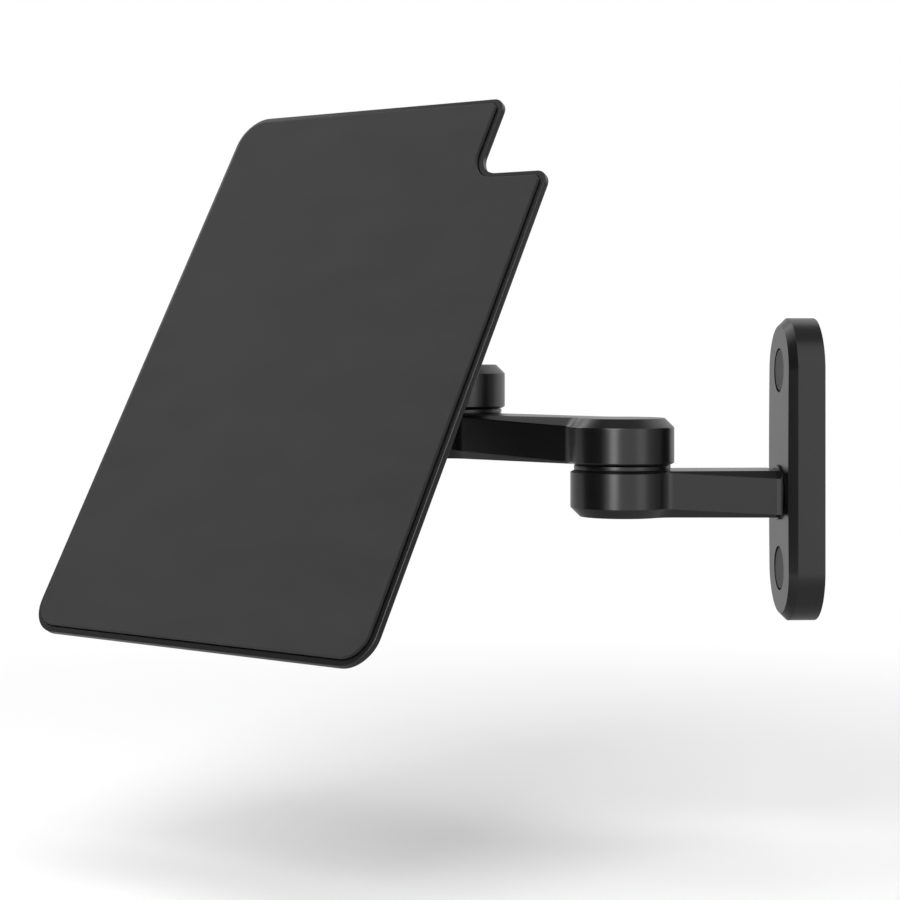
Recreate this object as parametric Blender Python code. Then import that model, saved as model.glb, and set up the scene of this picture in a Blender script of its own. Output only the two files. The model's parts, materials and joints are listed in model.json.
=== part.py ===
"""Double swing arm that holds a tablet off a wall, in metres with +Z up.

The wall is the plane y = 0 and the arm reaches out along -Y. The origin is the
centre of the wall plate's back. Each arm is modelled in a frame on its own joint
axis, with the arm running straight out, and is then turned to its rest angle.
"""
import math

import bmesh
import bpy
import numpy as np
from mathutils import Vector

# Fits shared by every piece
SEAT_GAP = 0.0003
RUNNING_GAP = 0.00008
CUT_EXTRA = 0.002

# Rest angles in degrees
FRONT_ARM_TURN = -48.0
HEAD_TURN = 93.0
HOLDER_TILT = 30.0

# Wall plate
PLATE_HALF_WIDTH = 0.022
PLATE_HALF_HEIGHT = 0.06375
PLATE_EDGE_DEPTH = 0.0146
PLATE_CROWN = 0.0005
PLATE_CHAMFER = 0.0031
PLATE_BACK_BEVEL = 0.0004
PLATE_STEPS = 16
CROWN_STRIPS = 6

# Wall screws' pockets and their caps
CAP_RADIUS = 0.0088
CAP_THICKNESS = 0.0019
CAP_SINK = 0.00025
CAP_BEVEL = 0.0003
CAP_SKIRT_LENGTH = 0.0032
CAP_SKIRT_WALL = 0.0012
SCREW_HEAD_POCKET_RADIUS = 0.0070
SCREW_HEAD_POCKET_DEPTH = 0.0062
WALL_SCREW_HOLE_RADIUS = 0.0026

# Levels and hubs of the two arms and the head
ARM_HEIGHT = 0.01945
REAR_ARM_TOP = 0.0
RING_SPACE = 0.00235
HUB_RADIUS = 0.0218
HUB_CHAMFER = 0.0039
RING_BEVEL_WIDTH = 0.0015
RING_BEVEL_HEIGHT = 0.00085
HUB_STEPS = 32
FILLET_STEPS = 5
END_STEPS = 4
BAR_STEPS = 6

# Plan of the bars between the hubs
BAR_HALF_AT_HUB = 0.0138
BAR_HALF_AT_END = 0.0158
HUB_FILLET = 0.0083
BAR_CHAMFER_NEAR = 0.0036
BAR_CHAMFER_FAR = 0.0012
BAR_CHAMFER_GROWN_WIDTH = 0.0029
BAR_CHAMFER_GROWN_HEIGHT = 0.0033
BAR_EDGE_WIDTH = 0.0009

# Rear arm and its fixing in the wall plate
ELBOW_REACH = 0.0816
ARM_STANDOFF = 0.00145
ARM_END_ROUND = 0.0014
ARM_END_BEVEL = 0.0008
WALL_RING_RADIUS = 0.0116
TONGUE_WIDTH = 0.018
TONGUE_HEIGHT = 0.011
TONGUE_ROOT = 0.004
CLAMP_POCKET_DEPTH = 0.0064
CLAMP_WIDTH = 0.024
CLAMP_HEIGHT = 0.013
CLAMP_CORNER = 0.003
CLAMP_THICKNESS = 0.0025
ARM_SCREW_SPACING = 0.010
ARM_SCREW_RADIUS = 0.0018
ARM_SCREW_HEAD_RADIUS = 0.0032
ARM_SCREW_HEAD_HEIGHT = 0.0024
ARM_SCREW_LENGTH = 0.014

# Front arm and head link
FRONT_ARM_LENGTH = 0.096
HEAD_LINK_LENGTH = 0.082

# Swivel joints: elbow and head
RING_INNER_RADIUS = 0.0115
SHAFT_RADIUS = 0.0050
SHAFT_FLANGE_RADIUS = 0.0090
STUD_RADIUS = 0.0060
STUD_LENGTH = 0.0120
THREAD_RADIUS = 0.0040
BUSH_WALL = 0.0016
BUSH_FLANGE_RADIUS = 0.0095
BUSH_FLANGE_THICKNESS = 0.0012
BUSH_TUBE_LENGTH = 0.0034
SPRING_WASHER_RADIUS = 0.0075
SPRING_WASHER_THICKNESS = 0.0005
SPRING_WASHER_RISE = 0.0004
FLAT_WASHER_RADIUS = 0.0080
FLAT_WASHER_THICKNESS = 0.0010
NUT_ACROSS_FLATS = 0.0130
NUT_HEIGHT = 0.0035
THREAD_TIP = 0.0002
BOTTOM_POCKET_RADIUS = 0.0110
BOTTOM_CAP_RECESS = 0.0003
BOTTOM_CAP_SKIRT = 0.0018
BOTTOM_CAP_SKIRT_WALL = 0.0010

# Tilt joint in the head link's fork
KNUCKLE_HALF_WIDTH = 0.0100
KNUCKLE_STEPS = 20
TILT_WASHER_THICKNESS = 0.0007
TILT_WASHER_RADIUS = 0.0078
EAR_THICKNESS = 0.0075
FORK_SLOT_FLOOR = 0.0012
FORK_CORNER = 0.0015
FORK_END_ANGLE = 86.0
FORK_END_STEPS = 16
TILT_PIN_RADIUS = 0.0030
TILT_BUSH_WALL = 0.0015
TILT_HEAD_RADIUS = 0.0050
TILT_HEAD_HEIGHT = 0.0028
TILT_NUT_ACROSS_FLATS = 0.0085
TILT_COVER_RADIUS = 0.0056
TILT_COVER_THICKNESS = 0.0012
TILT_COVER_RECESS = 0.0002

# Turning joint behind the holder
TILT_CLEARANCE = 0.0006
FLANGE_RADIUS = 0.0270
FLANGE_THICKNESS = 0.0030
FLANGE_BEVEL = 0.0010
TURN_RING_THICKNESS = 0.0012
TURN_RING_OUTER = 0.0255
TURN_RING_INNER = 0.0160
BOSS_RADIUS = 0.0270
BOSS_THICKNESS = 0.0016
BOSS_BEVEL = 0.0008
TURN_SCREW_RADIUS = 0.0040
TURN_SCREW_HEAD_RADIUS = 0.0080
TURN_SCREW_HEAD_HEIGHT = 0.0013
TURN_SCREW_TIP = 0.0064
TURN_BUSH_WALL = 0.0015
TURN_BUSH_FLANGE_RADIUS = 0.0080
TURN_BUSH_FLANGE_THICKNESS = 0.0008
TURN_SPRING_THICKNESS = 0.0003
TURN_SPRING_RISE = 0.0003
TURN_POCKET_RADIUS = 0.0095

# Holder plate, pad and magnets
HOLDER_WIDTH = 0.192
HOLDER_HEIGHT = 0.258
HOLDER_CORNER = 0.014
HOLDER_THICKNESS = 0.0046
HOLDER_BACK_CHAMFER = 0.0020
HOLDER_FRONT_BEVEL = 0.0005
RELIEF_SIZE = 0.038
RELIEF_INNER_ROUND = 0.010
RELIEF_OUTER_ROUND = 0.006
PAD_LIP = 0.0025
PAD_RECESS = 0.0006
PAD_THICKNESS = 0.0017
PAD_BEVEL = 0.0004
CORNER_STEPS = 6
MAGNET_RADIUS = 0.0060
MAGNET_THICKNESS = 0.0020
MAGNET_SIDE_MARGIN = 0.020
MAGNET_LOW_MARGIN = 0.033
MAGNET_END_MARGIN = 0.021
MAGNET_END_SPREAD = 0.028

# Facets round turned pieces
FINE_TURN = 32
SMALL_TURN = 20
TINY_TURN = 14

# Places that follow from the sizes
REAR_ARM_MIDDLE = REAR_ARM_TOP - ARM_HEIGHT / 2
FRONT_ARM_BOTTOM = REAR_ARM_TOP + RING_SPACE
FRONT_ARM_TOP = FRONT_ARM_BOTTOM + ARM_HEIGHT
HEAD_BOTTOM = FRONT_ARM_TOP + RING_SPACE
TILT_AXIS_HEIGHT = HEAD_BOTTOM + ARM_HEIGHT / 2
CAP_PLACE = PLATE_HALF_HEIGHT - PLATE_HALF_WIDTH
BUSH_OUTER = SHAFT_RADIUS + RUNNING_GAP + BUSH_WALL
BUSH_RECESS = BUSH_FLANGE_THICKNESS + SEAT_GAP
HUB_WEB = 2 * (BUSH_TUBE_LENGTH + SEAT_GAP)
POCKET_FLOOR = BUSH_RECESS + HUB_WEB
KNUCKLE_RADIUS = ARM_HEIGHT / 2
SLOT_HALF_WIDTH = KNUCKLE_HALF_WIDTH + TILT_WASHER_THICKNESS + 2 * SEAT_GAP
FORK_HALF_WIDTH = SLOT_HALF_WIDTH + EAR_THICKNESS
TILT_BUSH_OUTER = TILT_PIN_RADIUS + RUNNING_GAP + TILT_BUSH_WALL
FLANGE_BACK = KNUCKLE_RADIUS + TILT_CLEARANCE
FLANGE_FRONT = FLANGE_BACK + FLANGE_THICKNESS
BOSS_BACK = FLANGE_FRONT + TURN_RING_THICKNESS + 2 * SEAT_GAP
HOLDER_BACK = BOSS_BACK + BOSS_THICKNESS
HOLDER_FRONT = HOLDER_BACK + HOLDER_THICKNESS
PAD_SEAT = HOLDER_FRONT - PAD_RECESS
PAD_BACK = PAD_SEAT + SEAT_GAP


# Shared helpers

def clear_scene():
    """Start from nothing."""
    for item in list(bpy.data.objects):
        bpy.data.objects.remove(item, do_unlink=True)


def finish(name, colour, roughness, metallic):
    """A plain material for one sub-part."""
    material = bpy.data.materials.new(name)
    material.use_nodes = True
    shader = material.node_tree.nodes["Principled BSDF"]
    shader.inputs["Base Color"].default_value = (*colour, 1.0)
    shader.inputs["Roughness"].default_value = roughness
    shader.inputs["Metallic"].default_value = metallic
    return material


def frame(name, location=(0, 0, 0), turn=(0, 0, 0), parent=None):
    """An empty that carries a body's pieces; turn is in degrees."""
    empty = bpy.data.objects.new(name, None)
    bpy.context.scene.collection.objects.link(empty)
    empty.location = location
    empty.rotation_euler = [math.radians(angle) for angle in turn]
    empty.parent = parent
    return empty


def place(name, bm, look, parent, location=(0, 0, 0), turn=(0, 0, 0)):
    """Turn a bmesh into a named object in its parent's frame."""
    bmesh.ops.recalc_face_normals(bm, faces=bm.faces)
    mesh = bpy.data.meshes.new(name)
    bm.to_mesh(mesh)
    bm.free()
    mesh.shade_smooth()
    mesh.set_sharp_from_angle(angle=math.radians(30))
    item = bpy.data.objects.new(name, mesh)
    bpy.context.scene.collection.objects.link(item)
    item.location = location
    item.rotation_euler = [math.radians(angle) for angle in turn]
    item.parent = parent
    if look is not None:
        mesh.materials.append(finish(name, *look))
    return item


def cutter(name, bm, parent, location=(0, 0, 0), turn=(0, 0, 0)):
    """A shape that only cuts or joins, and is left out of the object."""
    item = place(name, bm, None, parent, location, turn)
    item.hide_render = True
    item.display_type = "WIRE"
    return item


def combine(item, tool, operation="DIFFERENCE"):
    """Cut an object with a tool, or join the tool to it."""
    change = item.modifiers.new(tool.name, "BOOLEAN")
    change.operation = operation
    change.solver = "EXACT"
    change.object = tool


def turned(profile, steps, ring=False):
    """A body turned about Z from (radius, height) points; a ring's profile is closed."""
    bm = bmesh.new()
    verts = [bm.verts.new((radius, 0, height)) for radius, height in profile]
    edges = [bm.edges.new(pair) for pair in zip(verts, verts[1:])]
    if ring:
        edges.append(bm.edges.new((verts[-1], verts[0])))
    bmesh.ops.spin(
        bm,
        geom=verts + edges,
        cent=(0, 0, 0),
        axis=(0, 0, 1),
        angle=math.tau,
        steps=steps,
        use_merge=True,
    )
    bmesh.ops.remove_doubles(bm, verts=bm.verts, dist=1e-7)
    return bm


def stacked(levels):
    """A body from the first level's outline, drawn up from level to level."""
    bm = bmesh.new()
    verts = [bm.verts.new(point) for point in levels[0]]
    bottom = cap = bm.faces.new(verts)
    for level in levels[1:]:
        target = {tuple(vert.co): point for vert, point in zip(verts, level)}
        drawn = bmesh.ops.extrude_face_region(bm, geom=[cap])["geom"]
        if cap is not bottom:
            bm.faces.remove(cap)
        cap = next(part for part in drawn if isinstance(part, bmesh.types.BMFace))
        raised = {tuple(vert.co): vert for vert in cap.verts}
        verts = [raised[place] for place in target]
        for vert, point in zip(verts, level):
            vert.co = point
    return bm


def block(low, high):
    """A box between two corners."""
    outline = [(low[0], low[1]), (high[0], low[1]), (high[0], high[1]), (low[0], high[1])]
    return stacked([[(x, y, z) for x, y in outline] for z in (low[2], high[2])])


def hexagon(across_flats):
    """Corners of a nut."""
    radius = across_flats / math.sqrt(3)
    angles = [math.radians(60 * side) for side in range(6)]
    return [(radius * math.cos(angle), radius * math.sin(angle)) for angle in angles]


def disc_ring(inner, outer, low, high, bevel=0.0):
    """Profile of a flat ring, with its outer edges bevelled."""
    if not bevel:
        return [(inner, low), (outer, low), (outer, high), (inner, high)]
    return [
        (inner, low),
        (outer - bevel, low),
        (outer, low + bevel),
        (outer, high - bevel),
        (outer - bevel, high),
        (inner, high),
    ]


# Plan outlines: each point comes with its unit direction into the solid

def arc(centre, radius, start, end, steps, inward):
    """Points on an arc; inward is -1 on a convex arc and 1 on a hollow one."""
    points = []
    for step in range(steps + 1):
        angle = start + (end - start) * step / steps
        ray = Vector((math.cos(angle), math.sin(angle)))
        points.append((centre + radius * ray, ray * inward))
    return points


def hub_side(half_width, slope):
    """Right side of a hub and its fillet, up to where the bar's straight side starts."""
    lean = math.hypot(1.0, slope)
    offset = half_width + HUB_FILLET * lean
    reach = HUB_RADIUS + HUB_FILLET
    half_b = offset * slope
    along = (-half_b + math.sqrt(half_b ** 2 - lean ** 2 * (offset ** 2 - reach ** 2))) / lean ** 2
    centre = Vector((offset + slope * along, along))
    on_hub = math.atan2(centre.y, centre.x)
    round_part = arc(Vector((0, 0)), HUB_RADIUS, -math.pi / 2, on_hub, HUB_STEPS // 2, -1)
    fillet_end = -math.pi - math.atan(slope)
    fillet = arc(centre, HUB_FILLET, on_hub - math.pi, fillet_end, FILLET_STEPS, 1)
    return round_part + fillet[1:]


def bar_side(start, end):
    """Points between two ends of a bar's side, so that its chamfers can grow evenly."""
    return [
        (start[0].lerp(end[0], step / BAR_STEPS), start[1])
        for step in range(1, BAR_STEPS)
    ]


def flip_along(points, length):
    """The same side seen from the bar's other end."""
    return [
        (Vector((point.x, length - point.y)), Vector((inward.x, -inward.y)))
        for point, inward in reversed(points)
    ]


def close_outline(side, direction):
    """Mirror the right side to the left, and run the plan along +Y or -Y."""
    left = [
        (Vector((-point.x, point.y)), Vector((-inward.x, inward.y)))
        for point, inward in reversed(side)
        if point.x > 1e-6
    ]
    return [
        (Vector((point.x, direction * point.y)), Vector((inward.x, direction * inward.y)))
        for point, inward in side + left
    ]


def two_hub_outline(length, direction):
    """A bar with a round hub at each end."""
    slope = (BAR_HALF_AT_END - BAR_HALF_AT_HUB) / length
    near = hub_side(BAR_HALF_AT_HUB, slope)
    far = flip_along(hub_side(BAR_HALF_AT_END, -slope), length)
    return close_outline(near + bar_side(near[-1], far[0]) + far, direction)


def one_hub_outline(length, half_width_at_end, corner, direction):
    """A bar with a hub at one end and a square end with rounded corners."""
    slope = (half_width_at_end - BAR_HALF_AT_HUB) / length
    near = hub_side(BAR_HALF_AT_HUB, slope)
    centre = Vector((half_width_at_end - corner, length - corner))
    end = arc(centre, corner, -math.atan(slope), math.pi / 2, END_STEPS, -1)
    return close_outline(near + bar_side(near[-1], end[0]) + end, direction)


def chamfer_size(keys, distance):
    """Width and height of a chamfer at a distance, from (distance, width, height) keys."""
    places, widths, heights = zip(*keys)
    return np.interp(distance, places, widths), np.interp(distance, places, heights)


def chamfered_bar(outline, direction, low, high, low_keys, high_keys):
    """A bar whose chamfers change along its length, which runs along +Y or -Y."""
    levels = [[], [], [], []]
    for point, inward in outline:
        distance = direction * point.y
        low_width, low_height = chamfer_size(low_keys, distance)
        high_width, high_height = chamfer_size(high_keys, distance)
        levels[0].append((*(point + inward * low_width), low))
        levels[1].append((*point, low + low_height))
        levels[2].append((*point, high - high_height))
        levels[3].append((*(point + inward * high_width), high))
    return stacked(levels)


def rounded_polygon(corners):
    """Outline of (x, y, radius) corners, given anticlockwise."""
    points = []
    for index, (x, y, radius) in enumerate(corners):
        corner = Vector((x, y))
        back = (Vector(corners[index - 1][:2]) - corner).normalized()
        ahead = (Vector(corners[(index + 1) % len(corners)][:2]) - corner).normalized()
        half_angle = math.acos(back.dot(ahead)) / 2
        centre = corner + (back + ahead).normalized() * radius / math.sin(half_angle)
        first = corner + back * radius / math.tan(half_angle) - centre
        last = corner + ahead * radius / math.tan(half_angle) - centre
        start = math.atan2(first.y, first.x)
        sweep = (math.atan2(last.y, last.x) - start + math.pi) % math.tau - math.pi
        inward = -1 if sweep > 0 else 1
        points += arc(centre, radius, start, start + sweep, CORNER_STEPS, inward)
    return points


def inset_level(outline, inset, height):
    """The outline moved into the solid, at one height."""
    return [(*(point + inward * inset), height) for point, inward in outline]


# Wall plate

def front_depth(height):
    """Depth of the wall plate's crowned front at a height above its centre."""
    return PLATE_EDGE_DEPTH + PLATE_CROWN * (1 - (height / PLATE_HALF_HEIGHT) ** 2)


def plate_outline():
    """Upright outline with fully round ends."""
    top = arc(Vector((0, CAP_PLACE)), PLATE_HALF_WIDTH, 0, math.pi, PLATE_STEPS, -1)
    bottom = arc(Vector((0, -CAP_PLACE)), PLATE_HALF_WIDTH, math.pi, math.tau, PLATE_STEPS, -1)
    return top + bottom


def wall_plate_body():
    """Chamfered plate, cut into level strips that take the crown."""
    outline = plate_outline()
    shoulder = PLATE_EDGE_DEPTH - PLATE_CHAMFER
    bm = stacked([
        inset_level(outline, PLATE_BACK_BEVEL, 0),
        inset_level(outline, 0, PLATE_BACK_BEVEL),
        inset_level(outline, 0, shoulder),
        inset_level(outline, PLATE_CHAMFER, PLATE_EDGE_DEPTH),
    ])
    front_verts = [vert for vert in bm.verts if vert.co.z > shoulder + PLATE_CHAMFER / 2]
    rows = {round(vert.co.y, 5): vert.co.y for vert in front_verts}
    step = 2 * CAP_PLACE / CROWN_STRIPS
    strips = [step * strip - CAP_PLACE for strip in range(1, CROWN_STRIPS)]
    for row in sorted([*rows.values(), *strips]):
        front = [face for face in bm.faces if face.calc_center_median().z > shoulder]
        edges = {edge for face in front for edge in face.edges}
        verts = {vert for face in front for vert in face.verts}
        bmesh.ops.bisect_plane(
            bm,
            geom=front + list(edges) + list(verts),
            dist=1e-6,
            plane_co=(0, row, 0),
            plane_no=(0, 1, 0),
        )
    for vert in bm.verts:
        if vert.co.z > PLATE_EDGE_DEPTH - 1e-6:
            vert.co.z = front_depth(vert.co.y)
    return bm


def cap_pocket():
    """Pocket for a cap and a wall screw's head, and the screw's hole."""
    front = front_depth(CAP_PLACE)
    floor = front - CAP_SINK - CAP_THICKNESS - SEAT_GAP
    screw_floor = front - SCREW_HEAD_POCKET_DEPTH
    return turned([
        (0, front + CUT_EXTRA),
        (CAP_RADIUS + SEAT_GAP, front + CUT_EXTRA),
        (CAP_RADIUS + SEAT_GAP, floor),
        (SCREW_HEAD_POCKET_RADIUS, floor),
        (SCREW_HEAD_POCKET_RADIUS, screw_floor),
        (WALL_SCREW_HOLE_RADIUS, screw_floor),
        (WALL_SCREW_HOLE_RADIUS, -CUT_EXTRA),
        (0, -CUT_EXTRA),
    ], FINE_TURN)


def screw_cap():
    """Round cap with a skirt that grips the screw's pocket."""
    face = front_depth(CAP_PLACE) - CAP_SINK
    back = face - CAP_THICKNESS
    skirt = SCREW_HEAD_POCKET_RADIUS - SEAT_GAP
    return turned([
        (0, face),
        (CAP_RADIUS - CAP_BEVEL, face),
        (CAP_RADIUS, face - CAP_BEVEL),
        (CAP_RADIUS, back),
        (skirt, back),
        (skirt, back - CAP_SKIRT_LENGTH),
        (skirt - CAP_SKIRT_WALL, back - CAP_SKIRT_LENGTH),
        (skirt - CAP_SKIRT_WALL, back),
        (0, back),
    ], FINE_TURN)


def tongue_block(gap, start, end):
    """The rear arm's tongue along the plate's depth, or its slot when given a gap."""
    half_width = TONGUE_WIDTH / 2 + gap
    half_height = TONGUE_HEIGHT / 2 + gap
    return block((-half_width, -half_height, start), (half_width, half_height, end))


def clamp_shape(gap, low, high):
    """The clamp plate between two depths, or its pocket when given a gap."""
    half_width = CLAMP_WIDTH / 2
    half_height = CLAMP_HEIGHT / 2
    corners = [(-half_width, -half_height), (half_width, -half_height),
               (half_width, half_height), (-half_width, half_height)]
    outline = rounded_polygon([(x, y, CLAMP_CORNER) for x, y in corners])
    return stacked([inset_level(outline, -gap, height) for height in (low, high)])


def build_wall_plate(wall, black, steel, rubber):
    """Plate, caps, ring, clamp plate and the screws that hold the rear arm."""
    plate = place("wall_plate", wall_plate_body(), black, wall)
    for name, side in (("upper", 1), ("lower", -1)):
        spot = (0, side * CAP_PLACE, 0)
        combine(plate, cutter(f"{name}_pocket_cutter", cap_pocket(), wall, spot))
        place(f"{name}_screw_cap", screw_cap(), rubber, wall, spot)
    arm_spot = (0, REAR_ARM_MIDDLE, 0)
    plate_front = front_depth(REAR_ARM_MIDDLE)
    slot = tongue_block(SEAT_GAP, CLAMP_POCKET_DEPTH / 2, plate_front + CUT_EXTRA)
    combine(plate, cutter("tongue_slot_cutter", slot, wall, arm_spot))
    pocket = clamp_shape(SEAT_GAP, -CUT_EXTRA, CLAMP_POCKET_DEPTH)
    combine(plate, cutter("clamp_pocket_cutter", pocket, wall, arm_spot))

    ring_back = plate_front + SEAT_GAP
    ring_front = plate_front + ARM_STANDOFF - SEAT_GAP
    ring = turned([(0, ring_front), (WALL_RING_RADIUS, ring_front),
                   (WALL_RING_RADIUS, ring_back), (0, ring_back)], FINE_TURN)
    ring_item = place("wall_ring", ring, black, wall, arm_spot)
    hole = tongue_block(SEAT_GAP, ring_back - CUT_EXTRA, ring_front + CUT_EXTRA)
    combine(ring_item, cutter("wall_ring_cutter", hole, wall, arm_spot))

    clamp_front = CLAMP_POCKET_DEPTH - SEAT_GAP
    clamp_back = clamp_front - CLAMP_THICKNESS
    clamp = clamp_shape(0, clamp_back, clamp_front)
    clamp_item = place("arm_clamp_plate", clamp, steel, wall, arm_spot)
    head_front = clamp_back - SEAT_GAP
    head_back = head_front - ARM_SCREW_HEAD_HEIGHT
    for name, side in (("left", -1), ("right", 1)):
        spot = (side * ARM_SCREW_SPACING / 2, REAR_ARM_MIDDLE, 0)
        hole = turned([
            (0, clamp_front + CUT_EXTRA),
            (ARM_SCREW_RADIUS + SEAT_GAP, clamp_front + CUT_EXTRA),
            (ARM_SCREW_RADIUS + SEAT_GAP, clamp_back - CUT_EXTRA),
            (0, clamp_back - CUT_EXTRA),
        ], TINY_TURN)
        combine(clamp_item, cutter(f"clamp_{name}_cutter", hole, wall, spot))
        screw = turned([
            (0, head_back + ARM_SCREW_LENGTH),
            (ARM_SCREW_RADIUS, head_back + ARM_SCREW_LENGTH),
            (ARM_SCREW_RADIUS, head_front),
            (ARM_SCREW_HEAD_RADIUS, head_front),
            (ARM_SCREW_HEAD_RADIUS, head_back),
            (0, head_back),
        ], TINY_TURN)
        place(f"arm_screw_{name}", screw, steel, wall, spot)
    return head_back


# Swivel joints

def through_bore(level):
    """Stepped bore of a lower hub whose flat top is at the level."""
    floor = level - POCKET_FLOOR
    bottom = level - ARM_HEIGHT
    return turned([
        (0, level + CUT_EXTRA),
        (BUSH_FLANGE_RADIUS + SEAT_GAP, level + CUT_EXTRA),
        (BUSH_FLANGE_RADIUS + SEAT_GAP, level - BUSH_RECESS),
        (BUSH_OUTER + SEAT_GAP, level - BUSH_RECESS),
        (BUSH_OUTER + SEAT_GAP, floor),
        (BOTTOM_POCKET_RADIUS, floor),
        (BOTTOM_POCKET_RADIUS, bottom - CUT_EXTRA),
        (0, bottom - CUT_EXTRA),
    ], FINE_TURN)


def stud_bore(level):
    """Blind bore of an upper hub, over a lower hub whose flat top is at the level."""
    top = level + RING_SPACE + STUD_LENGTH + SEAT_GAP
    bottom = level + RING_SPACE - CUT_EXTRA
    radius = STUD_RADIUS + SEAT_GAP
    return turned([(0, top), (radius, top), (radius, bottom), (0, bottom)], FINE_TURN)


def bush(flange_face, side):
    """Flanged bush; side is 1 where its tube points down from the flange's face."""
    inner = SHAFT_RADIUS + RUNNING_GAP
    shoulder = flange_face - side * BUSH_FLANGE_THICKNESS
    tip = shoulder - side * (SEAT_GAP + BUSH_TUBE_LENGTH)
    return turned([
        (inner, flange_face),
        (BUSH_FLANGE_RADIUS, flange_face),
        (BUSH_FLANGE_RADIUS, shoulder),
        (BUSH_OUTER, shoulder),
        (BUSH_OUTER, tip),
        (inner, tip),
    ], SMALL_TURN, ring=True)


def spring_washer(inner, outer, low, thickness, rise):
    """Shallow cone that presses the joint together."""
    return turned([
        (inner, low + rise),
        (outer, low),
        (outer, low + thickness),
        (inner, low + rise + thickness),
    ], SMALL_TURN, ring=True)


def hex_nut(name, across_flats, low, high, bore, look, parent, turn=(0, 0, 0)):
    """Plain hexagon nut over a threaded end."""
    outline = hexagon(across_flats)
    body = stacked([[(x, y, height) for x, y in outline] for height in (low, high)])
    nut = place(name, body, look, parent, turn=turn)
    hole = turned([(0, high + CUT_EXTRA), (bore, high + CUT_EXTRA),
                   (bore, low - CUT_EXTRA), (0, low - CUT_EXTRA)], SMALL_TURN)
    combine(nut, cutter(f"{name}_cutter", hole, parent, turn=turn))


def build_swivel(prefix, lower, upper, level, black, steel, plastic):
    """Ring, bushes and cap in the lower hub; shaft, washers and nut of the upper hub."""
    ring_low = level + SEAT_GAP
    ring_high = level + RING_SPACE - SEAT_GAP
    ring_outer = HUB_RADIUS - RING_BEVEL_WIDTH
    ring = turned(disc_ring(RING_INNER_RADIUS, ring_outer, ring_low, ring_high), FINE_TURN, ring=True)
    place(f"{prefix}_ring", ring, black, lower)
    place(f"{prefix}_upper_bush", bush(level, 1), plastic, lower)

    bush_face = level - POCKET_FLOOR - SEAT_GAP - BUSH_FLANGE_THICKNESS
    place(f"{prefix}_lower_bush", bush(bush_face, -1), plastic, lower)

    thread_clear = THREAD_RADIUS + SEAT_GAP
    spring_low = bush_face - SEAT_GAP - SPRING_WASHER_THICKNESS - SPRING_WASHER_RISE
    spring = spring_washer(thread_clear, SPRING_WASHER_RADIUS, spring_low,
                           SPRING_WASHER_THICKNESS, SPRING_WASHER_RISE)
    place(f"{prefix}_spring_washer", spring, steel, upper)

    washer_high = spring_low - SEAT_GAP
    washer_low = washer_high - FLAT_WASHER_THICKNESS
    washer = disc_ring(thread_clear, FLAT_WASHER_RADIUS, washer_low, washer_high)
    place(f"{prefix}_flat_washer", turned(washer, SMALL_TURN, ring=True), steel, upper)

    nut_high = washer_low - SEAT_GAP
    nut_low = nut_high - NUT_HEIGHT
    hex_nut(f"{prefix}_nut", NUT_ACROSS_FLATS, nut_low, nut_high, thread_clear, steel, upper)

    tip = nut_low - THREAD_TIP
    shoulder = bush_face
    top = level + RING_SPACE + STUD_LENGTH
    shaft = turned([
        (0, top),
        (STUD_RADIUS, top),
        (STUD_RADIUS, ring_high),
        (SHAFT_FLANGE_RADIUS, ring_high),
        (SHAFT_FLANGE_RADIUS, ring_low),
        (SHAFT_RADIUS, ring_low),
        (SHAFT_RADIUS, shoulder),
        (THREAD_RADIUS, shoulder),
        (THREAD_RADIUS, tip),
        (0, tip),
    ], SMALL_TURN)
    place(f"{prefix}_shaft", shaft, steel, upper)

    cap_top = tip - SEAT_GAP
    cap_bottom = level - ARM_HEIGHT + BOTTOM_CAP_RECESS
    cap_radius = BOTTOM_POCKET_RADIUS - SEAT_GAP
    skirt_inner = cap_radius - BOTTOM_CAP_SKIRT_WALL
    cap = turned([
        (0, cap_top),
        (skirt_inner, cap_top),
        (skirt_inner, cap_top + BOTTOM_CAP_SKIRT),
        (cap_radius, cap_top + BOTTOM_CAP_SKIRT),
        (cap_radius, cap_bottom + CAP_BEVEL),
        (cap_radius - CAP_BEVEL, cap_bottom),
        (0, cap_bottom),
    ], FINE_TURN)
    place(f"{prefix}_bottom_cap", cap, plastic, lower)


# Arms

def ring_side_keys(start, end, far):
    """Chamfer on the side of the elbow's ring: thin at the hub, grown at the far end."""
    return [
        (start - HUB_FILLET / 2, RING_BEVEL_WIDTH, RING_BEVEL_HEIGHT),
        (start, BAR_EDGE_WIDTH, RING_BEVEL_HEIGHT),
        (end, BAR_CHAMFER_GROWN_WIDTH, BAR_CHAMFER_GROWN_HEIGHT),
        far,
    ]


def outer_side_keys(start, end, far):
    """Chamfer on the elbow's outer side: full at the hub, fading along the bar."""
    return [
        (start - HUB_FILLET / 2, HUB_CHAMFER, HUB_CHAMFER),
        (start, BAR_CHAMFER_NEAR, BAR_CHAMFER_NEAR),
        (end, BAR_CHAMFER_FAR, BAR_CHAMFER_FAR),
        far,
    ]


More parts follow.
